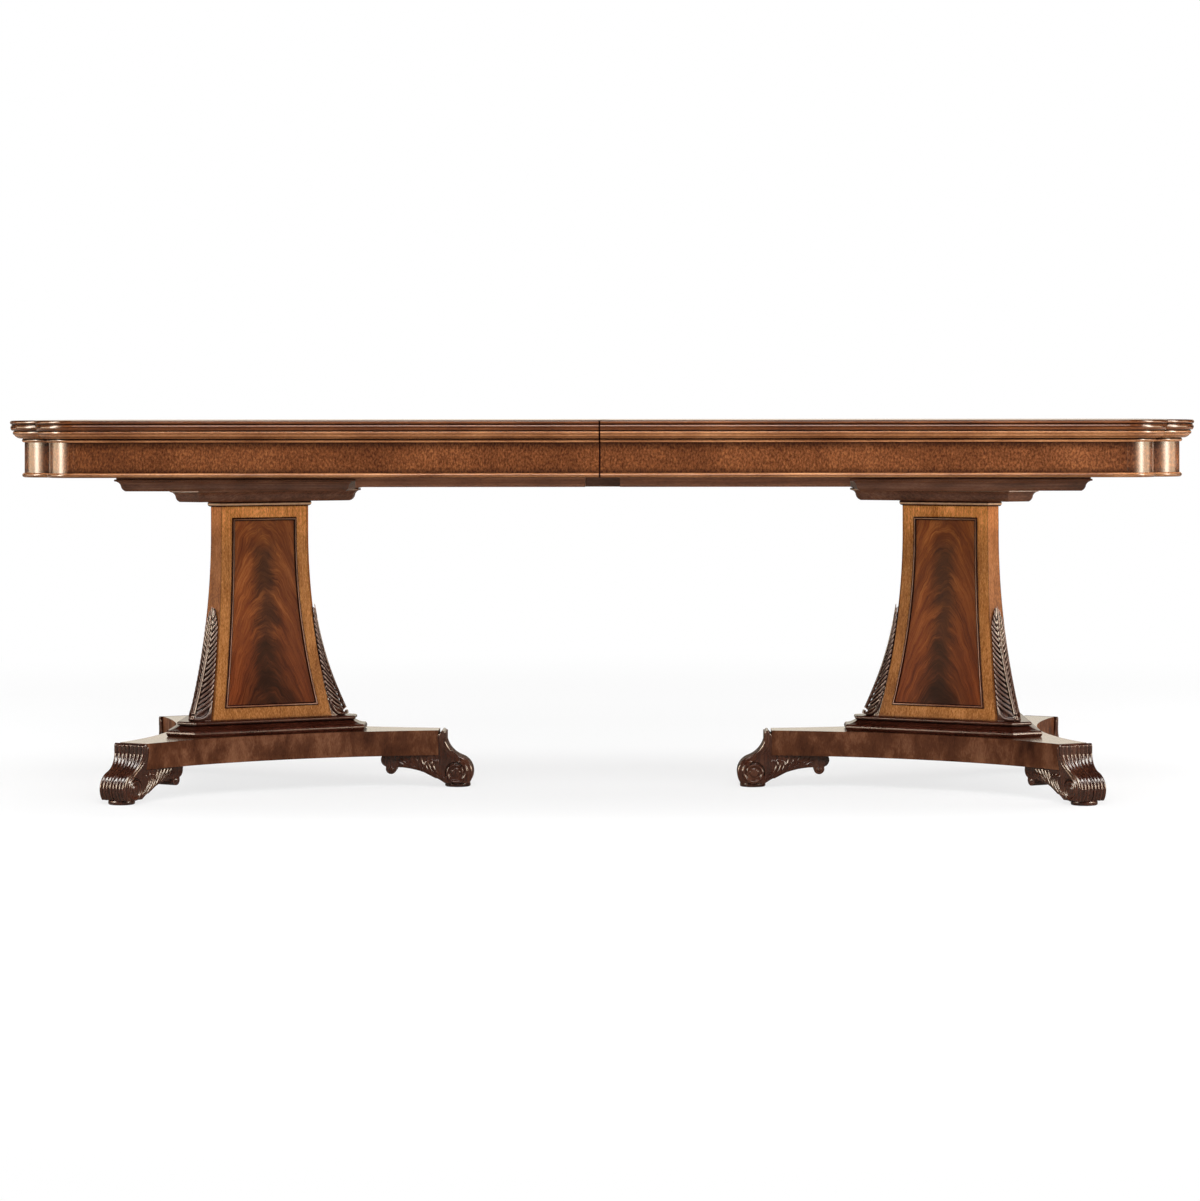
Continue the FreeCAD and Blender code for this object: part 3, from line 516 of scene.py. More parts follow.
panel_sides = {"left": (60, 180, 300), "right": (0, 120, 240)}
panel_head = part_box("left_flame_panels")[1].z
panel_glaze = ((0.010, 0.002, 0.001), 0.007, (0.45, 0.88))
flame_stops = (
    (0.34, (0.058, 0.0120, 0.0034)),
    (0.46, (0.125, 0.0330, 0.0088)),
    (0.55, (0.190, 0.0570, 0.0165)),
    (0.68, (0.310, 0.1100, 0.0350)),
)
spine_stops = (
    (0.36, (0.026, 0.0078, 0.0036)),
    (0.52, (0.058, 0.0190, 0.0085)),
    (0.70, (0.120, 0.0400, 0.0160)),
)
spine_edges, spine_rag = (0.004, 0.042), 0.075
spine_end, spine_end_most = (panel_head - 0.075, panel_head - 0.030), 0.75
spine_waves, spine_wander = (3.0, 3.0, 9.0), 0.030
fall_curve, fall_slope = 17.0, 0.3
fall_waves, fall_wander = (26.0, 26.0, 16.0), 0.045
sheet_drift = 3.0
broad_figure, streak_figure, fine_figure = (26.0, 14.0), (120.0, 24.0), (380.0, 45.0)
broad_share, streaks_share, fine_share = 0.42, 0.30, 0.28
bright_side, bright_shades = (-0.055, 0.020), (1.18, 0.95)
ember_levels, ember_most, ember_rag, ember_shade = (0.235, 0.390), 0.92, 0.10, 0.42
panel_pores, panel_pore_shade = (700.0, 700.0, 90.0), 0.6
panel_light_rise = (panel_head - 0.33, panel_head - 0.05)
foot_tone, panel_head_light = (0.70, 0.50, 0.36), (1.42, 1.26, 0.92)


def face_turn(point, side):
    """The way in which the column's face looks at a point, as an angle round the pedestal."""
    bearing = math.degrees(math.atan2(point.y, point.x - pedestal_x[side])) % 360
    return math.radians(min(panel_sides[side], key=lambda angle: abs((bearing - angle + 180) % 360 - 180)))


def lay_flame(side):
    """A copy of the panels of one half, whose map gives the place across each face and the height."""
    piece = copied_node(f"{side}_flame_panels", f"{side}_flame_panels_veneer")
    mesh = piece.data
    veneer_map = mesh.uv_layers.new(name="veneer")
    for face in mesh.polygons:
        turn = face_turn(face.center, side)
        for corner in face.loop_indices:
            point = mesh.vertices[mesh.loops[corner].vertex_index].co
            across = (point.x - pedestal_x[side]) * -math.sin(turn) + point.y * math.cos(turn)
            veneer_map.data[corner].uv = (across, point.z)
    choose(piece)
    bpy.ops.object.shade_smooth_by_angle(angle=math.radians(30))
    return piece


def wander(tree, point, scale, amount):
    """A soft noise about zero, of a given swing."""
    return weighted(tree, (noise(tree, point, scale, 2.0), amount), start=-amount / 2)


def plume(tree, crown, across, spot, scale, detail):
    """Streaks that follow the plume: noise over the height of their arc and the place across."""
    arc = {0: sums(tree, "MULTIPLY", crown, scale[0]), 1: sums(tree, "MULTIPLY", across, scale[1])}
    own = scaled(tree, spot, sheet_drift)
    seed = put(tree, "VectorMath", {0: put(tree, "CombineXYZ", arc), 1: own})
    return noise(tree, seed, (1.0, 1.0, 1.0), detail, 0.6, 0.35)


flame_veneer, tree, surface = new_material("flame_veneer")
sheet = parts_of(tree, put(tree, "TexCoord").node.outputs["UV"])
spot = object_point(tree)
across = sums(tree, "ADD", sheet["X"], wander(tree, spot, spine_waves, spine_wander))
from_spine = sums(tree, "ABSOLUTE", across)
curved = sums(tree, "MULTIPLY", from_spine, from_spine)
uneven = wander(tree, spot, fall_waves, fall_wander)
fall = weighted(tree, (curved, fall_curve), (from_spine, fall_slope), start=uneven)
crown = sums(tree, "ADD", sheet["Y"], fall)
broad = plume(tree, crown, across, spot, broad_figure, 2.0)
streaks = plume(tree, crown, across, spot, streak_figure, 3.0)
fine = plume(tree, crown, across, spot, fine_figure, 2.0)
lively = weighted(tree, (broad, broad_share), (streaks, streaks_share), (fine, fine_share))
ragged = weighted(tree, (lively, spine_rag), (from_spine, 1.0), start=-spine_rag / 2)
above_spine = between(tree, sheet["Y"], *spine_end, 0.0, spine_end_most)
off_spine = sums(tree, "MAXIMUM", between(tree, ragged, *spine_edges), above_spine)
dark = colours_along(tree, lively, *spine_stops)
bright = colours_along(tree, lively, *flame_stops)
bright = scaled(tree, bright, between(tree, across, *bright_side, *bright_shades))
colour = shaded(tree, off_spine, dark, bright)
ember = between(tree, weighted(tree, (lively, ember_rag), (crown, 1.0)), *ember_levels, ember_most, 0.0)
colour = shaded(tree, ember, colour, scaled(tree, dark, ember_shade))
pores = between(tree, noise(tree, spot, panel_pores, 1.0), *pore_edges)
colour = scaled(tree, colour, between(tree, pores, 0.0, 1.0, 1.0, panel_pore_shade))
# Painted light: the panels lighter towards the head, and darker and redder towards the foot.
colour = toned(tree, colour, shaded(tree, between(tree, sheet["Y"], *panel_light_rise), foot_tone, panel_head_light))
relief = sums(tree, "SUBTRACT", fine, pores)
# With own False the panels are also painted darker in the shade beside their beads.
polish(tree, surface, colour, relief, 0.20, glaze=panel_glaze, lacquer=0.06, own=False)
for side in sides:
    panels = lay_flame(side)
    panels.data.materials.clear()
    panels.data.materials.append(flame_veneer)
    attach(panels, f"{side}_half")
    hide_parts(f"{side}_flame_panels")


# Panel beads: thin raised strips of dark stained mahogany with rounded backs, mitred round each panel
# and let into the pocket with it. Their flat crests carry a painted highlight, and their rounded sides are
# darkened.

bead_round = 0.0021
bead_side_darkening = 0.4
# Painted highlight: a lighter wood for the bead's flat crest.
crest_highlight_colours = ((0.130, 0.045, 0.020), (0.190, 0.072, 0.034), (0.250, 0.105, 0.055))
bead_painted_highlight = wood("bead_painted_highlight", crest_highlight_colours, "Z", 0.20, (0.2, 0.004), 0.06, 0.2, lacquer=0.25)
bead_mahogany, tree, surface = new_material("bead_mahogany")
colour, grain = wood_figure(tree, along_grain(tree, "Z"), dark_colours, (0.2, 0.004), 0.06, 0.2)
# The rounded sides: the dark wood darkened further.
polish(tree, surface, scaled(tree, colour, bead_side_darkening), grain, 0.20, ease=0.0004, lacquer=0.05)
for side in sides:
    beads = copied_node(f"{side}_panel_beads", f"{side}_panel_beads_rounded")
    beads.data.materials.clear()
    for material in (bead_painted_highlight, bead_mahogany):
        beads.data.materials.append(material)
    rounding = beads.modifiers.new("rounding", "BEVEL")
    rounding.width = bead_round
    rounding.segments = 4
    rounding.limit_method = "ANGLE"
    rounding.angle_limit = math.radians(50)
    rounding.material = 1
    choose(beads)
    bpy.ops.object.modifier_apply(modifier="rounding")
    bpy.ops.object.shade_smooth_by_angle(angle=math.radians(40))
    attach(beads, f"{side}_half")
    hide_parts(f"{side}_panel_beads")


# Corner leaves: long acanthus leaves carved in solid mahogany, glued on the canted corners of the column.
# Each has a raised midrib, close leaflets that sweep up and out, and a small knot at its foot.

leaf_angles = {"left": (0, 120, 240), "right": (60, 180, 300)}
leaf_low, leaf_high = [corner.z * 1000 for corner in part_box("left_corner_leaves")]
leaf_height = leaf_high - leaf_low
leaf_thickness, leaf_edge, leaf_swell = (5.0, 30.0), 3.0, 1.15
leaf_width_share, leaf_tip, leaf_taper = 0.84, 0.17, 0.7
leaf_cuts = (-1.0, -0.8, -0.55, -0.3, -0.1, 0.1, 0.3, 0.55, 0.8, 1.0)
leaf_rows, leaf_top = 40, 0.985
leaf_sink, leaf_glued = 3.4, 2.0
leaf_voxel = 0.0009
midrib_shares, midrib_lift = (0.06, 0.25, 0.45, 0.65, 0.82, 0.93, 1.0), 1.3
midrib_widths = (3.8, 3.4, 2.9, 2.4, 2.0, 1.7, 0.9)
leaflet_count, leaflet_span = 18, (0.05, 0.88)
leaflet_rises, leaflet_widths = (0.118, 0.083), (3.3, 1.9)
leaflet_steps = (
    (0.0, 0.12, 0.0, 0.5),
    (0.2, 0.38, 0.8, 0.9),
    (0.5, 0.68, 1.1, 1.0),
    (0.8, 0.91, 0.8, 0.85),
    (1.05, 1.0, -0.6, 0.35),
)
foot_curl = ((0.020, 0.06), (0.010, 0.45), (0.032, 0.80), (0.085, 0.96), (0.145, 0.98))
foot_curl_widths, foot_curl_lift = (2.4, 3.4, 3.8, 3.2, 1.4), 0.8
knot_places, knot_widths = ((0.012, 0.5), (0.045, 2.0)), (3.4, 3.8)
column = nodes["left_column"]
bpy.context.view_layer.update()


def corner_reach(height):
    """How far the canted corner stands from the column's axis at a height, in millimetres."""
    start = Vector((pedestal_x["left"] + 0.5, 0.0, height / 1000))
    return (column.ray_cast(start, Vector((-1.0, 0.0, 0.0)))[1].x - pedestal_x["left"]) * 1000


def corner_width(height):
    """Half the width of the canted corner at a height, in millimetres."""
    start = Vector((pedestal_x["left"] + corner_reach(height) / 1000 - 0.0005, 0.3, height / 1000))
    return column.ray_cast(start, Vector((0.0, -1.0, 0.0)))[1].y * 1000


def leaf_half(share):
    """Half the leaf's width at a share of its height: full below, drawn in to a point above."""
    width = corner_width(min(leaf_low + leaf_height * share, leaf_high - 1.0))
    return leaf_width_share * width * min(1.0, max(0.0, (1.01 - share) / leaf_tip) ** leaf_taper)


def leaf_point(share, across, lift=0.0):
    """A point on the leaf's swelling face, by its shares of the height and the half-width, and a lift."""
    height = leaf_low + leaf_height * share
    thick = part_way(leaf_thickness, (1.0 - share) ** 2)
    swell = part_way((leaf_edge, thick), max(0.0, 1.0 - abs(across) ** leaf_swell))
    return (corner_reach(height) + swell + lift, across * leaf_half(share), height)


def leaf_body():
    """The leaf's plain body: a pad that swells to its middle, flat at the back where it is glued."""
    points, faces = [], []
    for row in range(leaf_rows + 1):
        share = leaf_top * row / leaf_rows
        back = corner_reach(leaf_low + leaf_height * share) - leaf_glued
        ring = [leaf_point(share, cut, -leaf_sink) for cut in leaf_cuts]
        ring = [(back, *ring[0][1:]), *ring, (back, *ring[-1][1:])]
        points += [tuple(part / 1000 for part in point) for point in ring]
    count = len(leaf_cuts) + 2
    for row in range(leaf_rows):
        for k in range(count):
            low, after = row * count + k, row * count + (k + 1) % count
            faces.append((low, after, after + count, low + count))
    faces.append(tuple(reversed(range(count))))
    faces.append(tuple(range(leaf_rows * count, (leaf_rows + 1) * count)))
    mesh = bpy.data.meshes.new("leaf_pattern")
    mesh.from_pydata(points, [], faces)
    return new_object("leaf_pattern", mesh)


def leaf_strokes():
    """The leaf's cuts: the midrib, the leaflets on both sides, and the knot at the foot."""
    strokes = [carved_stroke([leaf_point(share, 0.0, midrib_lift) for share in midrib_shares], midrib_widths)]
    for sign in (-1, 1):
        for k in range(leaflet_count):
            start = part_way(leaflet_span, k / (leaflet_count - 1))
            rise, wide = part_way(leaflet_rises, start), part_way(leaflet_widths, start)
            line, widths = [], []
            for up, out, lift, breadth in leaflet_steps:
                line.append(leaf_point(min(0.99, start + rise * up), sign * out, lift))
                widths.append(wide * breadth)
            strokes.append(carved_stroke(line, widths))
        curl = [leaf_point(up, sign * out, foot_curl_lift) for up, out in foot_curl]
        strokes.append(carved_stroke(curl, foot_curl_widths))
    strokes.append(carved_stroke([leaf_point(up, 0.0, lift) for up, lift in knot_places], knot_widths))
    return strokes


# Leaves: crests painted pale, partly rubbed wear and partly painted highlight.
leaf_carving = worn_and_highlit_carving("leaf_carving", (0.560, 0.380, 0.300), (0.515, 0.558), 0.90)
leaf_pattern = as_one_carving(leaf_body(), leaf_strokes(), leaf_voxel, "leaf_pattern")
for side in sides:
    for angle in leaf_angles[side]:
        set_on_pedestal(leaf_pattern, f"{side}_corner_leaf_{angle}", side, angle, leaf_carving)
    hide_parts(f"{side}_corner_leaves")
bpy.data.objects.remove(leaf_pattern)


# Necks: half-round mouldings of polished mahogany, mitred round the head of each column under the cap.
# Above and below the round the colour is dark, partly dark polish and partly painted shade under the cap, and
# its crest carries a painted highlight line.

neck_low, neck_high = [corner.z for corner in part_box("left_column_neck")]
neck_highlight_colours = ((0.420, 0.210, 0.100), (0.580, 0.330, 0.180), (0.700, 0.440, 0.270))
neck_stain_and_shade = (0.022, 0.006, 0.003)
neck_crest, neck_crest_edges = 0.40, (0.10, 0.22)
neck_mahogany, tree, surface = new_material("neck_mahogany")
colour, grain = wood_figure(tree, along_grain(tree, "X"), neck_highlight_colours, (0.2, 0.004), 0.06, 0.25)
rise = put(tree, "MapRange", {"Value": level_of(tree), "From Min": neck_low, "From Max": neck_high})
off_crest = sums(tree, "ABSOLUTE", sums(tree, "SUBTRACT", rise, neck_crest))
# Painted highlight on the crest; off it, dark stain with painted shade.
colour = shaded(tree, between(tree, off_crest, *neck_crest_edges), colour, neck_stain_and_shade)
polish(tree, surface, colour, grain, 0.16, lacquer=0.3)
finish_halves(neck_mahogany, "column_neck")


# Pedestal caps and bearing plates: thick boards of dark mahogany with an ogee worked along their edges.
# The cap is glued to the column, and the plate on it carries the slides.

cap_colours = ((0.058, 0.0200, 0.0100), (0.124, 0.0460, 0.0225), (0.210, 0.0870, 0.0460))
cap_mahogany = wood("cap_mahogany", cap_colours, "X", 0.21, (0.2, 0.004), 0.06, 0.25,
                    ease=0.0009, glaze=dark_glaze, lacquer=0.6)
finish_halves(cap_mahogany, "pedestal_cap", "bearing_plate")


# Bolts and tie rods: plain steel, dulled by age. The bolts hold the plates up to the slides,
# and one rod in each pedestal draws the platform, column, cap and plate together.

patch_waves, scratch_waves = (70.0, 70.0, 70.0), (900.0, 900.0, 40.0)
patch_dulling, dull_range = 0.3, (0.1, 0.45)


def worn_metal(name, stops, roughness, scratch_dulling):
    """A metal with dull and bright patches and fine scratches along Z."""
    material, tree, surface = new_material(name)
    point = object_point(tree)
    patches = noise(tree, point, patch_waves, 4.0, 0.6)
    scratches = noise(tree, point, scratch_waves, 2.0, 0.5)
    dull = weighted(tree, (patches, patch_dulling), (scratches, scratch_dulling))
    eased = put(tree, "Bevel", {"Radius": 0.0006}, samples=4)
    bump = put(tree, "Bump", {"Strength": 0.3, "Distance": 0.00003, "Height": scratches, "Normal": eased})
    tree.links.new(colours_along(tree, patches, *stops), surface.inputs["Base Color"])
    tree.links.new(between(tree, dull, *dull_range, *roughness), surface.inputs["Roughness"])
    tree.links.new(bump, surface.inputs["Normal"])
    surface.inputs["Metallic"].default_value = 1.0
    return material


steel_stops = ((0.35, (0.16, 0.15, 0.14)), (0.55, (0.33, 0.32, 0.31)), (0.7, (0.45, 0.44, 0.43)))
fastener_steel = worn_metal("fastener_steel", steel_stops, (0.28, 0.55), 0.3)
finish_halves(fastener_steel, "plate_bolts", "tie_rod")


# Cross bearers: plain battens of oiled mahogany, three under each half of the top, screwed to it from below
# to keep it flat. They are out of sight, so they have no stain.

bearer_colours = ((0.110, 0.050, 0.025), (0.165, 0.080, 0.041), (0.225, 0.115, 0.062))
bearer_wood = wood("bearer_wood", bearer_colours, "Y", 0.48, (0.25, 0.004), 0.08, 0.35)
finish_halves(bearer_wood, "cross_bearers")


# Slides: two outer runners under each half and a centre runner between each pair, joined by long dovetails.
# The outer ones are stained to match the table, and the centre ones are waxed only.

runner_colours = ((0.115, 0.041, 0.018), (0.215, 0.080, 0.036), (0.330, 0.135, 0.064))
runner_wood = wood("runner_wood", runner_colours, "X", 0.30, (0.25, 0.004), 0.08, 0.3)
finish_halves(runner_wood, "front_runner", "rear_runner")
centre_colours = ((0.065, 0.026, 0.013), (0.112, 0.046, 0.023), (0.165, 0.073, 0.038))
centre_wood = wood("centre_runner_wood", centre_colours, "X", 0.36, (0.25, 0.004), 0.08, 0.3)
finish_nodes(centre_wood, "front_centre_runner", "rear_centre_runner")


# Frieze: straight aprons and shaped corner blocks, faced with mottled mahogany whose grain stands upright.
# The veneer is painted darker along the mouldings above and below it, partly grime and partly painted shade,
# and the lobes keep the fullest polish.

frieze_colours = ((0.062, 0.0165, 0.0044), (0.120, 0.0365, 0.0105), (0.200, 0.0670, 0.0210))
frieze_low, frieze_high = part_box("left_apron_bead")[1].z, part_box("left_edge_moulding")[0].z
upper_grime_and_shade, upper_grime_and_shade_depth = 0.32, 0.020
lower_grime_and_shade, lower_grime_and_shade_depth = 0.40, 0.012
speckle_waves, speckle_edges, speckle_shades = (260.0, 260.0, 170.0), (0.36, 0.64), (0.55, 1.42)
seam_edges, seam_colour = (0.0013, 0.0013 * 1.6), (0.010, 0.0034, 0.0020)
lobes_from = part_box("right_front_corner_block")[0].x
lobe_turn = (lobes_from, lobes_from + 0.03)


def from_seam(tree):
    """How far a point is from the seam between the halves."""
    return sums(tree, "ABSOLUTE", parts_of(tree, object_point(tree))["X"])


def seam_line(tree, colour):
    """The dark arris where the two halves of the table meet."""
    return shaded(tree, between(tree, from_seam(tree), *seam_edges), seam_colour, colour)


def lacquer_off_seam(tree, sides_lacquer, lobe_lacquer):
    """Polish that is taken off the arris at the seam, and is thinner along the sides than on the lobes."""
    weight = between(tree, from_seam(tree), *lobe_turn, sides_lacquer, lobe_lacquer)
    return sums(tree, "MULTIPLY", weight, between(tree, from_seam(tree), *seam_edges))


frieze_veneer, tree, surface = new_material("frieze_veneer")
colour, grain = wood_figure(tree, along_grain(tree, "Z"), frieze_colours, (0.008, 0.0042), 0.11, 0.25)
speckle = noise(tree, object_point(tree), speckle_waves, 3.0, 0.65)
colour = scaled(tree, colour, between(tree, speckle, *speckle_edges, *speckle_shades))
# Painted shade with grime: darker just under the edge moulding and just above the bead.
upper = between(tree, level_of(tree), frieze_high - upper_grime_and_shade_depth, frieze_high, 1.0, upper_grime_and_shade)
lower = between(tree, level_of(tree), frieze_low, frieze_low + lower_grime_and_shade_depth, lower_grime_and_shade, 1.0)
colour = scaled(tree, colour, sums(tree, "MULTIPLY", upper, lower))
polish(tree, surface, seam_line(tree, colour), grain, 0.26, relief=0.00001, ease=0.0010)
tree.links.new(lacquer_off_seam(tree, 0.35, 0.9), surface.inputs["Coat Weight"])
finish_halves(frieze_veneer, "front_apron", "rear_apron", "end_apron")
finish_halves(frieze_veneer, "front_corner_block", "rear_corner_block")


# Edge mouldings and apron beads: solid mahogany run to a reeded section, mitred at the cusps of the corners.
# Their colour carries painted light and shade: lower members made golden as painted light, upper reeds darker
# as painted shade, dark and light bands as painted shade in the quirks and painted highlight on the rounds, a
# dark glazing with painted shade in the quirks, and painted shade under the bead.

half_length, half_width = cad_box[1].x, cad_box[1].y
edge_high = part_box("left_edge_moulding")[1].z
bead_low, bead_high = [corner.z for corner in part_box("left_apron_bead")]
edge_colours = ((0.095, 0.0290, 0.0095), (0.215, 0.0820, 0.0290), (0.380, 0.1650, 0.0640))
edge_glaze = ((0.012, 0.0030, 0.0014), 0.012, (0.44, 0.86))
edge_painted_light, edge_painted_shade = (2.60, 2.70, 2.90), (0.86, 0.64, 0.50)
edge_light_shift = (edge_high - 0.023, edge_high - 0.017)
edge_level_turns, edge_level_lacquers = (0.97, 0.995), (1.0, 0.05)
quirk_pitch, quirk_edges, quirk_shades = 0.0062, (-0.8, 0.5), (0.65, 1.45)
bead_rise, bead_painted_shades = (bead_low, bead_high - 0.003), (0.16, 0.46)


def run_of(tree):
    """One on the mouldings of the two ends, which run across the table, and zero on the long sides."""
    place = parts_of(tree, object_point(tree))
    beyond = sums(tree, "SUBTRACT", sums(tree, "ABSOLUTE", place["X"]), sums(tree, "ABSOLUTE", place["Y"]))
    return sums(tree, "GREATER_THAN", beyond, half_length - half_width)


def grain_by_run(tree, side_axis, end_axis):
    """The point turned so that the grain has one axis on the long sides and another on the ends."""
    turned = {4: along_grain(tree, side_axis), 5: along_grain(tree, end_axis)}
    return put(tree, "Mix", {0: run_of(tree), **turned}, data_type="VECTOR").node.outputs[1]


edge_mahogany, tree, surface = new_material("edge_mahogany")
colour, grain = wood_figure(tree, grain_by_run(tree, "X", "Y"), edge_colours, (0.3, 0.003), 0.08, 0.3)
level = level_of(tree)
# Painted light and shade: the lower members made golden and lighter, the upper reeds darker and redder.
colour = toned(tree, colour, shaded(tree, between(tree, level, *edge_light_shift), edge_painted_light, edge_painted_shade))
# Painted shade and highlight: dark and light bands across the reeds, at a fixed pitch in height.
quirks = sums(tree, "SINE", sums(tree, "MULTIPLY", level, 2 * math.pi / quirk_pitch))
colour = scaled(tree, colour, between(tree, quirks, *quirk_edges, *quirk_shades))
# Painted shade: the apron bead darker towards its underside; above it the moulding is dimmed evenly.
colour = scaled(tree, colour, between(tree, level, *bead_rise, *bead_painted_shades))
polish(tree, surface, seam_line(tree, colour), grain, 0.19, ease=0.0005, glaze=edge_glaze)
level_lacquer = between(tree, normal_parts(tree)["Z"], *edge_level_turns, *edge_level_lacquers)
lacquer = sums(tree, "MULTIPLY", lacquer_off_seam(tree, 0.4, 0.8), level_lacquer)
tree.links.new(lacquer, surface.inputs["Coat Weight"])
finish_halves(edge_mahogany, "edge_moulding", "apron_bead")


# Top: two panels veneered with matched leaves of figured mahogany that run along the table,
# inside a thin dark line and a border of the same wood laid across its edge.

top_colours = ((0.075, 0.022, 0.009), (0.140, 0.047, 0.018), (0.225, 0.085, 0.034))
border_width = 0.085
line_half, line_colour = 0.0012, (0.012, 0.004, 0.0025)
veneer_leaf = 0.31
panel_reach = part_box("right_top_panel")[1]
top_veneer, tree, surface = new_material("top_veneer")
place = parts_of(tree, object_point(tree))
along, athwart = [sums(tree, "ABSOLUTE", place[axis]) for axis in ("X", "Y")]
insets = [sums(tree, "SUBTRACT", panel_reach.x, along), sums(tree, "SUBTRACT", panel_reach.y, athwart)]
inset = sums(tree, "MINIMUM", *insets)
matched = put(tree, "CombineXYZ", {0: along, 1: sums(tree, "PINGPONG", athwart, veneer_leaf), 2: place["Z"]})
field, grain = wood_figure(tree, matched, top_colours, (0.5, 0.012), 0.13, 0.25)
border = wood_figure(tree, grain_by_run(tree, "Y", "X"), top_colours, (0.16, 0.004), 0.08, 0.3)[0]
colour = shaded(tree, sums(tree, "GREATER_THAN", inset, border_width), border, field)
off_line = sums(tree, "ABSOLUTE", sums(tree, "SUBTRACT", inset, border_width))
colour = shaded(tree, sums(tree, "LESS_THAN", off_line, line_half), colour, line_colour)
polish(tree, surface, seam_line(tree, colour), grain, 0.17, relief=0.00004)
tree.links.new(lacquer_off_seam(tree, 0.9, 0.9), surface.inputs["Coat Weight"])
finish_halves(top_veneer, "top_panel")


# Locks: cast brass plates, keepers and levers, gone dull, screwed up under the top on each side of the seam.
# A lever swings over a stud on the other half to hold the table closed.

brass_stops = ((0.35, (0.27, 0.155, 0.045)), (0.55, (0.50, 0.32, 0.105)), (0.72, (0.66, 0.45, 0.18)))
lock_brass = worn_metal("lock_brass", brass_stops, (0.22, 0.50), 0.25)
finish_nodes(lock_brass, "lock_plates", "lock_keepers", "front_lock_lever", "rear_lock_lever")


# Dowels: turned beech pegs, left plain, glued into the seam face of the left half.
# They enter holes in the right half and bring the two tops level as the table closes.

beech_colours = ((0.330, 0.205, 0.105), (0.430, 0.285, 0.155), (0.520, 0.365, 0.215))
beech = wood("beech_dowel", beech_colours, "X", 0.48, (0.03, 0.002), 0.03, 0.3)
finish_nodes(beech, "alignment_dowels")


# Floor: a plain pale studio floor, which keeps the table's soft shadow near it
# and runs out into the white round it.

floor_reach = 40.0
floor_white, floor_grey, floor_mirrored = (0.92, 0.92, 0.92), (0.55, 0.55, 0.55), (0.36, 0.32, 0.27)
shadow_reach, shadow_share = (1.6, 4.5), 0.26
deselect()
bpy.ops.mesh.primitive_circle_add(vertices=96, radius=floor_reach, fill_type="NGON")
floor = bpy.context.object
floor.name = "studio_floor"
floor_paint = bpy.data.materials.new("floor_white")
floor_paint.use_nodes = True
tree = floor_paint.node_tree
tree.nodes.clear()
far = put(tree, "VectorMath", {0: object_point(tree)}, operation="LENGTH").node.outputs["Value"]
near = between(tree, far, *shadow_reach, shadow_share, 0.0)
path = put(tree, "LightPath").node.outputs
shadowed = put(tree, "BsdfDiffuse", {"Color": tint(floor_white)})
glow = put(tree, "Emission", {"Color": tint((1.0, 1.0, 1.0)), "Strength": 1.0})
seen = put(tree, "MixShader", {0: near, 1: glow, 2: shadowed})
unseen = put(tree, "BsdfDiffuse", {"Color": shaded(tree, path["Is Glossy Ray"], floor_grey, floor_mirrored)})
above = put(tree, "MixShader", {0: path["Is Camera Ray"], 1: unseen, 2: seen})
from_below = put(tree, "NewGeometry").node.outputs["Backfacing"]
whole = put(tree, "MixShader", {0: from_below, 1: above, 2: put(tree, "BsdfTransparent")})
put(tree, "OutputMaterial", {"Surface": whole})
floor.data.materials.append(floor_paint)


# Light: a white studio. Soft boxes to the right, in front, overhead and behind both ends light the wood,
# and cards on both sides, in front and overhead are only mirrored in the polish of its mouldings and carving.
# The cards are kept off the level tops, which would turn white in them.

amber, cream, pale = (1.0, 0.72, 0.46), (1.0, 0.90, 0.76), (1.0, 0.96, 0.90)
backdrop_low, backdrop_high, backdrop_rise = (0.17, 0.16, 0.15), (1.45, 1.32, 1.10), (0.01, 0.05)
backdrop_edge = (0.82, 0.95)
room_mirrored, room_light = (0.02, 0.02, 0.02), (0.34, 0.34, 0.34)
behind_powers = {"left": 85, "right": 135}
world = bpy.data.worlds.new("white_studio")
bpy.context.scene.world = world
world.use_nodes = True
tree = world.node_tree
tree.nodes.clear()
path = put(tree, "LightPath").node.outputs
away = parts_of(tree, put(tree, "TexCoord").node.outputs["Generated"])
backdrop = shaded(tree, between(tree, away["Z"], *backdrop_rise), backdrop_low, backdrop_high)
room = shaded(tree, between(tree, away["Y"], *backdrop_edge), room_mirrored, backdrop)
mirrored = sums(tree, "MAXIMUM", path["Is Glossy Ray"], path["Is Transmission Ray"])
unseen = shaded(tree, mirrored, room_light, room)
sky = shaded(tree, path["Is Camera Ray"], unseen, (1.0, 1.0, 1.0))
put(tree, "OutputWorld", {"Surface": put(tree, "Background", {"Color": sky, "Strength": 1.0})})
off_cards = bpy.data.collections.new("off_cards")
for side in sides:
    for name in ("top_panel", "platform"):
        off_cards.objects.link(nodes[f"{side}_{name}"])
for member in off_cards.collection_objects:
    member.light_linking.link_state = "EXCLUDE"


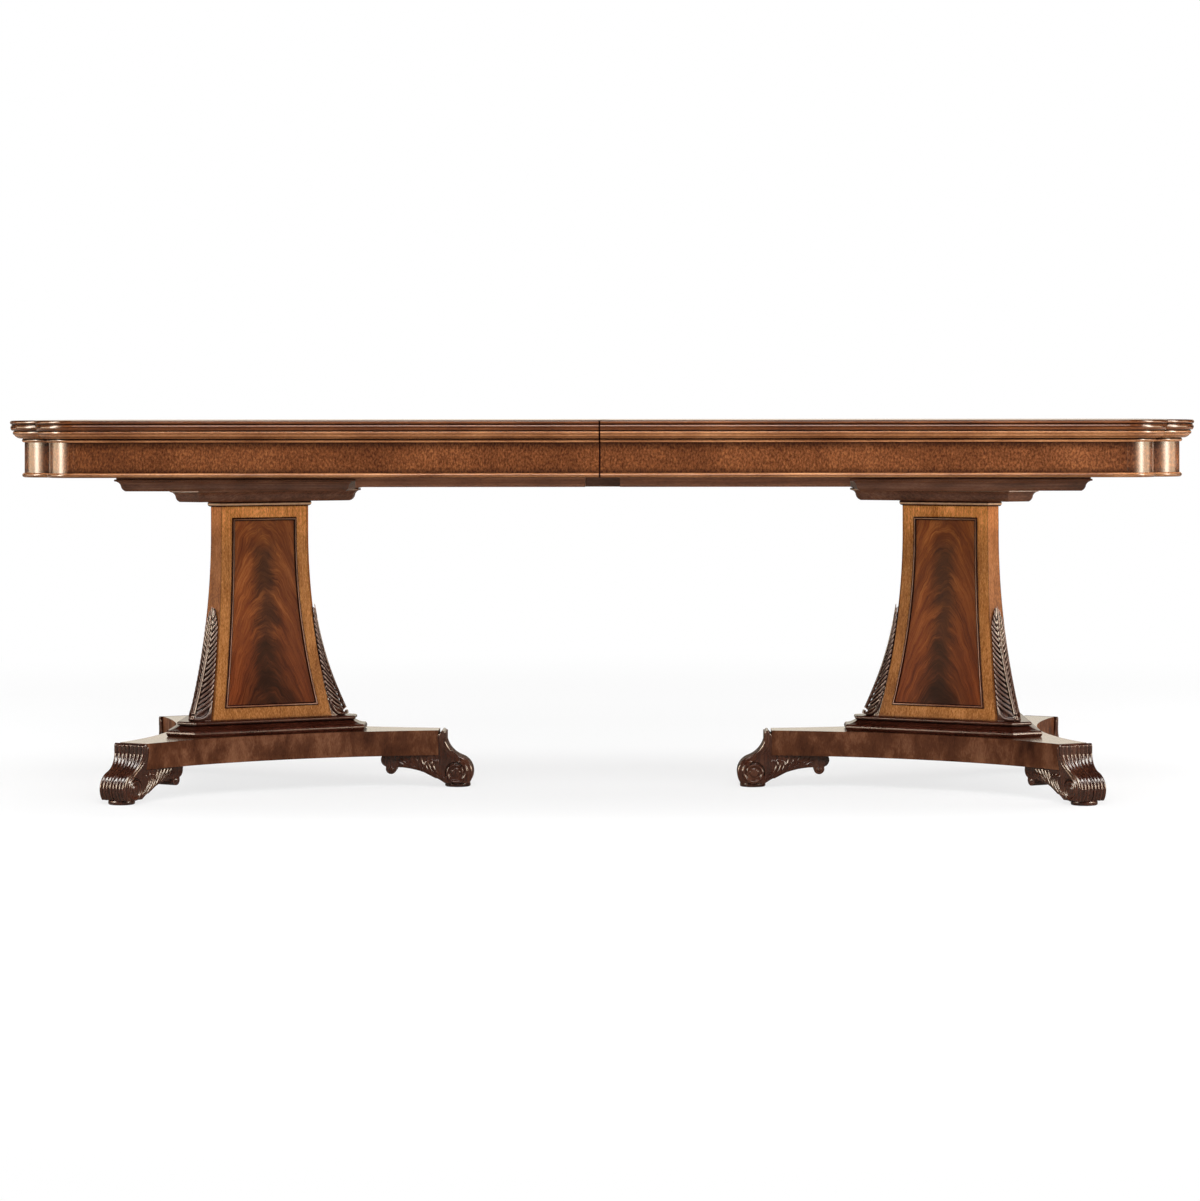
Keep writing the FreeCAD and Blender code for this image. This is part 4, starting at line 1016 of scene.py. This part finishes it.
def soft_box(name, azimuth, height, distance, size, power, aim, card_tone=None):
    """A soft box at an azimuth, 0 in front, aimed at a height over the middle: a lamp, or a toned card."""
    lamp = bpy.data.lights.new(name, "AREA")
    lamp.shape = "RECTANGLE"
    lamp.size, lamp.size_y = size
    lamp.energy = power
    stand = new_object(name, lamp)
    turn = math.radians(azimuth)
    place = Vector((math.sin(turn) * distance, -math.cos(turn) * distance, height))
    facing = (place - Vector((0.0, 0.0, aim))).to_track_quat("Z", "Y").to_matrix().to_4x4()
    stand.matrix_world = Matrix.Translation(place) @ facing
    stand.visible_glossy = card_tone is not None
    stand.visible_diffuse = card_tone is None
    if card_tone:
        lamp.color = card_tone
        stand.light_linking.receiver_collection = off_cards


soft_box("right_lamp", 42, 0.85, 4.2, (3.0, 1.5), 58, 0.4)
soft_box("front_lamp", 0, 2.6, 3.4, (3.6, 1.6), 150, 0.5)
soft_box("top_lamp", 180, 4.2, 0.3, (4.0, 2.4), 95, 0.4)
for side, sign in zip(sides, (-1, 1)):
    soft_box(f"{side}_lamp_behind", sign * 104, 0.6, 4.0, (2.0, 1.2), behind_powers[side], 0.3)
    soft_box(f"{side}_wide_card", sign * 72, 0.9, 4.2, (4.0, 1.2), 120, 0.7, amber)
    soft_box(f"{side}_tall_card", sign * 63, 1.9, 4.2, (0.9, 3.2), 250, 0.7, cream)
soft_box("front_card", 0, 3.1, 2.6, (3.0, 1.1), 190, 0.6, pale)
soft_box("top_card", 0, 4.2, 0.3, (3.0, 1.2), 55, 0.6, pale)


# Camera: straight in front of the table at the height of its top, from about eight metres, with a long lens
# whose shift keeps the uprights upright.

photo_width = 1200
focal_pixels = 3818.0
optical_axis, frame_middle = (609.2, 412.79), (600.0, 600.5)
camera_place = (0.13635, -7.9374, 0.77609)
camera_yaw, camera_roll = 0.918, 0.06
lens = bpy.data.cameras.new("camera")
lens.sensor_fit = "HORIZONTAL"
lens.sensor_width = 36.0
lens.lens = focal_pixels * lens.sensor_width / photo_width
lens.shift_x = (frame_middle[0] - optical_axis[0]) / photo_width
lens.shift_y = (optical_axis[1] - frame_middle[1]) / photo_width
camera = new_object("camera", lens)
camera.location = camera_place
camera.rotation_euler = (math.pi / 2, math.radians(camera_roll), math.radians(camera_yaw))
bpy.context.scene.camera = camera
bpy.context.scene.view_settings.view_transform = "Standard"
